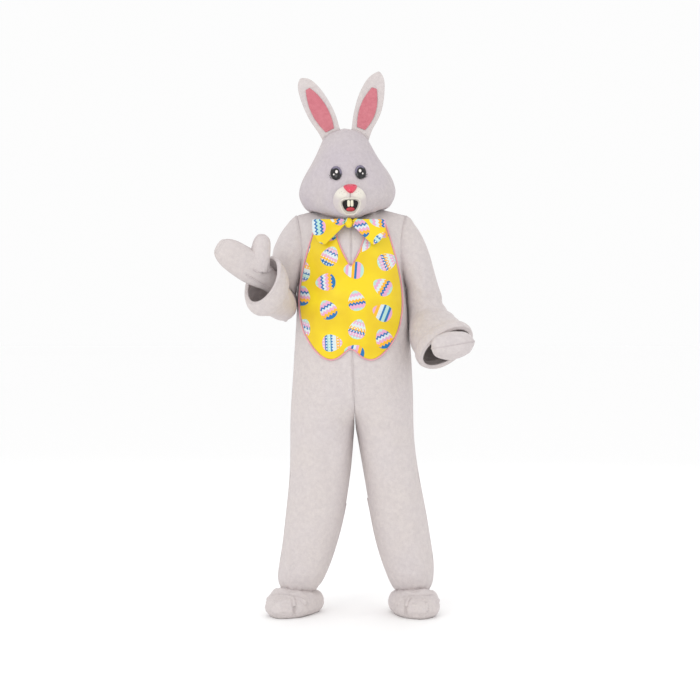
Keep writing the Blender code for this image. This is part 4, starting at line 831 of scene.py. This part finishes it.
def rim_lines(mesh, field, tree):
    """Lines of points along a panel's outer cut edge, wherever it meets what the tree holds."""
    bm = bmesh.new()
    bm.from_mesh(mesh)
    bm.normal_update()
    joined = {}
    for edge in bm.edges:
        a, b = edge.verts
        out = Vector(field[a.index] + field[b.index]) / 2
        levels = sorted(face.normal.dot(out) for face in edge.link_faces)
        if len(levels) == 2 and levels[1] > SEAM_FACING and edge.calc_face_angle() > SEAM_ANGLE:
            for one, other in ((a, b), (b, a)):
                if tree.find_nearest(one.co, SEAM_GAP)[0] is not None:
                    joined.setdefault(one.index, []).append(other.index)
    bm.free()
    lines = []
    left = set(joined)
    while left:
        line = [left.pop()]
        for _ in range(2):
            ahead = [k for k in joined[line[-1]] if k in left]
            while ahead:
                left.discard(ahead[0])
                line.append(ahead[0])
                ahead = [k for k in joined[line[-1]] if k in left]
            line.reverse()
        lines.append(line)
    return lines


def build_seams(made, materials):
    """The sewn seams: plush drawn together along each line where two panels meet."""
    nodes = list(made)
    for i, node in enumerate(nodes):
        mesh = made[node]["piece"].data
        field = made[node]["field"]
        # Each pair is met once, but the sleeves' and ears' seams are looked for from both of their sides.
        others = [n for n in nodes[:i] if n.startswith(("sleeve", "ear"))] + nodes[i + 1:]
        tree = mesh_tree([made[other]["piece"].data for other in others])
        points = points_of(mesh)
        for k, line in enumerate(rim_lines(mesh, field, tree)):
            if len(line) > 5:
                places = []
                for j in line:
                    other = np.array(tree.find_nearest(Vector(points[j]), SEAM_GAP)[0] or points[j])
                    places.append((points[j] + other) / 2 - field[j] * SEAM_SINK)
                thread(f"seam_{node}_{k}", places, SEAM_RADIUS, materials["seam"])


# ================================================================ trim, face and zip
def bow_pleats(points, node):
    """Pleats that fan out from the knot and die away along the wing."""
    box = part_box("bow_knot")
    middle = (box[0] + box[1]) / 2
    aside = np.abs(points[:, 0] - middle.x)
    angle = np.arctan2(points[:, 2] - middle.z, aside)
    reach = np.clip(1 - aside / BOW_PLEATS["reach"], 0, 1)
    turn = 0.4 if node.endswith("left") else 1.7
    uneven = 1 + 0.4 * np.sin(3 * angle + turn)
    return BOW_PLEATS["depth"] * reach * uneven * np.sin(BOW_PLEATS["count"] * angle + turn)


def muzzle_rise(points):
    """How far the two soft cheeks of the muzzle stand out, each side of the line under the nose."""
    rise = np.zeros(len(points))
    for way in (-1, 1):
        across = (points[:, 0] - MUZZLE["x"] - way * MUZZLE["apart"]) / MUZZLE["half_width"]
        up = (points[:, 2] + SHOULDER_HEIGHT - MUZZLE["z"]) / MUZZLE["half_height"]
        rise += MUZZLE["rise"] * np.exp(-(across**2 + up**2) * 1.3)
    return rise


def build_wrist(made, materials):
    """Rolled pile where the right mitten is gathered to its wrist, and under its thumb."""
    tree = mesh_tree([made["mitten_right_palm"]["piece"].data, made["mitten_right_back"]["piece"].data])
    for name, places in WRIST_LINES.items():
        points = [front_of(tree, x, z, WRIST_RADIUS * 0.2) for x, z in places]
        thread(name, points, WRIST_RADIUS, materials["seam"])


def build_face(materials):
    """The lashes and the stitched line under the nose."""
    tree = mesh_tree([bpy.data.objects[n].data for n in FACE_PIECES])
    for side, way in (("left", 1), ("right", -1)):
        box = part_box(f"eye_{side}")
        middle, half = (box[0] + box[1]) / 2, (box[1] - box[0]) / 2
        for k, (angle, length) in enumerate(LASHES):
            line = []
            for i in range(6):
                share = i / 5
                out = 1.0 + length * share
                turn = math.radians(angle + 14 * share)
                x = middle.x + way * half.x * out * math.cos(turn)
                z = middle.z + SHOULDER_HEIGHT + half.z * out * math.sin(turn)
                line.append(front_of(tree, x, z, 0.001 + 0.006 * share))
            thread(f"lash_{side}_{k}", line, LASH_RADIUS, materials["lash"])
    line = [front_of(tree, MUZZLE["x"], z, 0.0004) for z in np.linspace(*PHILTRUM, 6)]
    thread("philtrum", line, PHILTRUM_RADIUS, materials["philtrum"])


def build_tacks(made, materials):
    """Rolled pile that closes the back seam past the zip's ends."""
    tree = mesh_tree([made["suit_back_left"]["piece"].data, made["suit_back_right"]["piece"].data])
    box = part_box("zip_tape")
    middle = (box[0].x + box[1].x) / 2
    for name, end, reach, radius in ZIP_TACKS:
        points = []
        for k in range(7):
            height = box[end].z + reach * (k / 6 - 0.15)
            hits = [behind(tree, middle + way * TACK_ASIDE, height)[0] for way in (-1, 1)]
            if None not in hits:
                points.append((middle, (hits[0].y + hits[1].y) / 2 - radius * 0.75, height))
        thread(name, points, radius, materials["white"])


def add_blocks(name, places, size, material):
    """Small blocks of one size at some places, as one piece."""
    bm = bmesh.new()
    for centre in places:
        for vert in bmesh.ops.create_cube(bm, size=1.0)["verts"]:
            vert.co = Vector((vert.co.x * size[0], vert.co.y * size[1], vert.co.z * size[2])) + centre
    mesh = bpy.data.meshes.new(name)
    bm.to_mesh(mesh)
    bm.free()
    add_piece(name, mesh, material, "zip_tape")


def build_zip(materials):
    """The coil's teeth down the middle of the tape and a row of stitches along each edge."""
    box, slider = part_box("zip_tape"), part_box("zip_slider")
    middle = (box[0].x + box[1].x) / 2
    tree = tree_of(["zip_tape"])
    low, high = box[0].z + ZIP["end"], box[1].z - ZIP["end"]
    hits = [behind(tree, middle, z) for z in np.arange(low, high, ZIP["pitch"])]
    teeth = []
    for k, (place, out) in enumerate(hit for hit in hits if hit[0] is not None):
        if not slider[0].z - ZIP["slider"] < place.z < slider[1].z + ZIP["slider"]:
            way = 1 if k % 2 else -1
            teeth.append(place + out * TOOTH["lift"] + Vector((way * TOOTH["aside"], 0, 0)))
    add_blocks("zip_teeth", teeth, TOOTH["size"], materials["coil"])
    stitches = []
    for way in (-1, 1):
        for z in np.arange(low, high, ZIP["stitch"]):
            place = behind(tree, middle + way * ZIP["aside"], z)[0]
            if place is not None:
                stitches.append(place)
    add_blocks("zip_stitches", stitches, STITCH_SIZE, materials["seam"])


def build_trim(materials):
    """The vest, its piping, the bow, the face, the ears' linings, the soles and the zip's tape."""
    for node, (levels, material, slot) in TRIM_NODES.items():
        mesh = curved(node, levels, 0.6)
        points = points_of(mesh)
        if node.startswith("ear"):
            tree = tree_of([node])
            set_points(mesh, points + outward(mesh, tree) * folds_on(node, points, tree)[:, None])
        if node in ("bow_left", "bow_right"):
            set_points(mesh, points + outward(mesh, tree_of([node])) * bow_pleats(points, node)[:, None])
        if node == "vest_front":
            moved = PUFF + np.abs(waves(points, **VEST_SWELL))
            set_points(mesh, points + np.array((0, -1, 0)) * moved[:, None])
        if node == "muzzle":
            set_points(mesh, points + np.array((0, -1, 0)) * muzzle_rise(points)[:, None])
        piece = add_piece(f"{node}_finished", mesh, materials[material], slot, node)
    for node in ("zip_slider", "zip_pull"):
        mesh = frame["nodes"][node].data
        for i in range(len(mesh.materials)):
            mesh.materials[i] = materials["metal"]


# ================================================================ light, floor and camera
def build_room():
    """A white studio: an even sky, a wide pale floor, three soft lights and the photo's camera."""
    world = bpy.data.worlds.new("studio")
    bpy.context.scene.world = world
    world.use_nodes = True
    world.node_tree.nodes["Background"].inputs["Color"].default_value = (1, 1, 1, 1)
    world.node_tree.nodes["Background"].inputs["Strength"].default_value = SKY_STRENGTH
    floor = bpy.data.meshes.new("floor")
    floor.from_pydata(
        [(x * FLOOR_HALF, y * FLOOR_HALF, FLOOR) for x, y in ((-1, -1), (1, -1), (1, 1), (-1, 1))],
        [], [(0, 1, 2, 3)],
    )
    ground = bpy.data.objects.new("floor", floor)
    bpy.context.scene.collection.objects.link(ground)
    s = Shader("pale_floor", Roughness=0.9)
    floor.materials.append(s.done(rgb(255, 255, 255)))
    for name, place, size, power in LIGHTS:
        light = bpy.data.lights.new(name, "AREA")
        light.size = size
        light.energy = power
        lamp = bpy.data.objects.new(name, light)
        lamp.location = place
        lamp.rotation_euler = (Vector(LIGHTS_AIM) - Vector(place)).to_track_quat("-Z", "Y").to_euler()
        bpy.context.scene.collection.objects.link(lamp)
    camera = bpy.data.cameras.new("camera")
    camera.sensor_width = SENSOR_WIDTH
    camera.lens = SENSOR_WIDTH * -CAMERA_PLACE[1] / FRAME_WIDTH
    camera.shift_y = (HORIZON_ROW - FRAME_PIXELS / 2) / FRAME_PIXELS
    viewer = bpy.data.objects.new("camera", camera)
    viewer.location = CAMERA_PLACE
    viewer.rotation_euler = (math.pi / 2, 0, 0)
    bpy.context.scene.collection.objects.link(viewer)
    bpy.context.scene.camera = viewer
    bpy.context.scene.view_settings.view_transform = "Standard"


# ================================================================ the scene
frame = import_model()
build_room()
materials = make_materials()
plush_made = build_plush(materials)
build_seams(plush_made, materials)
build_wrist(plush_made, materials)
build_trim(materials)
build_face(materials)
build_zip(materials)
build_tacks(plush_made, materials)
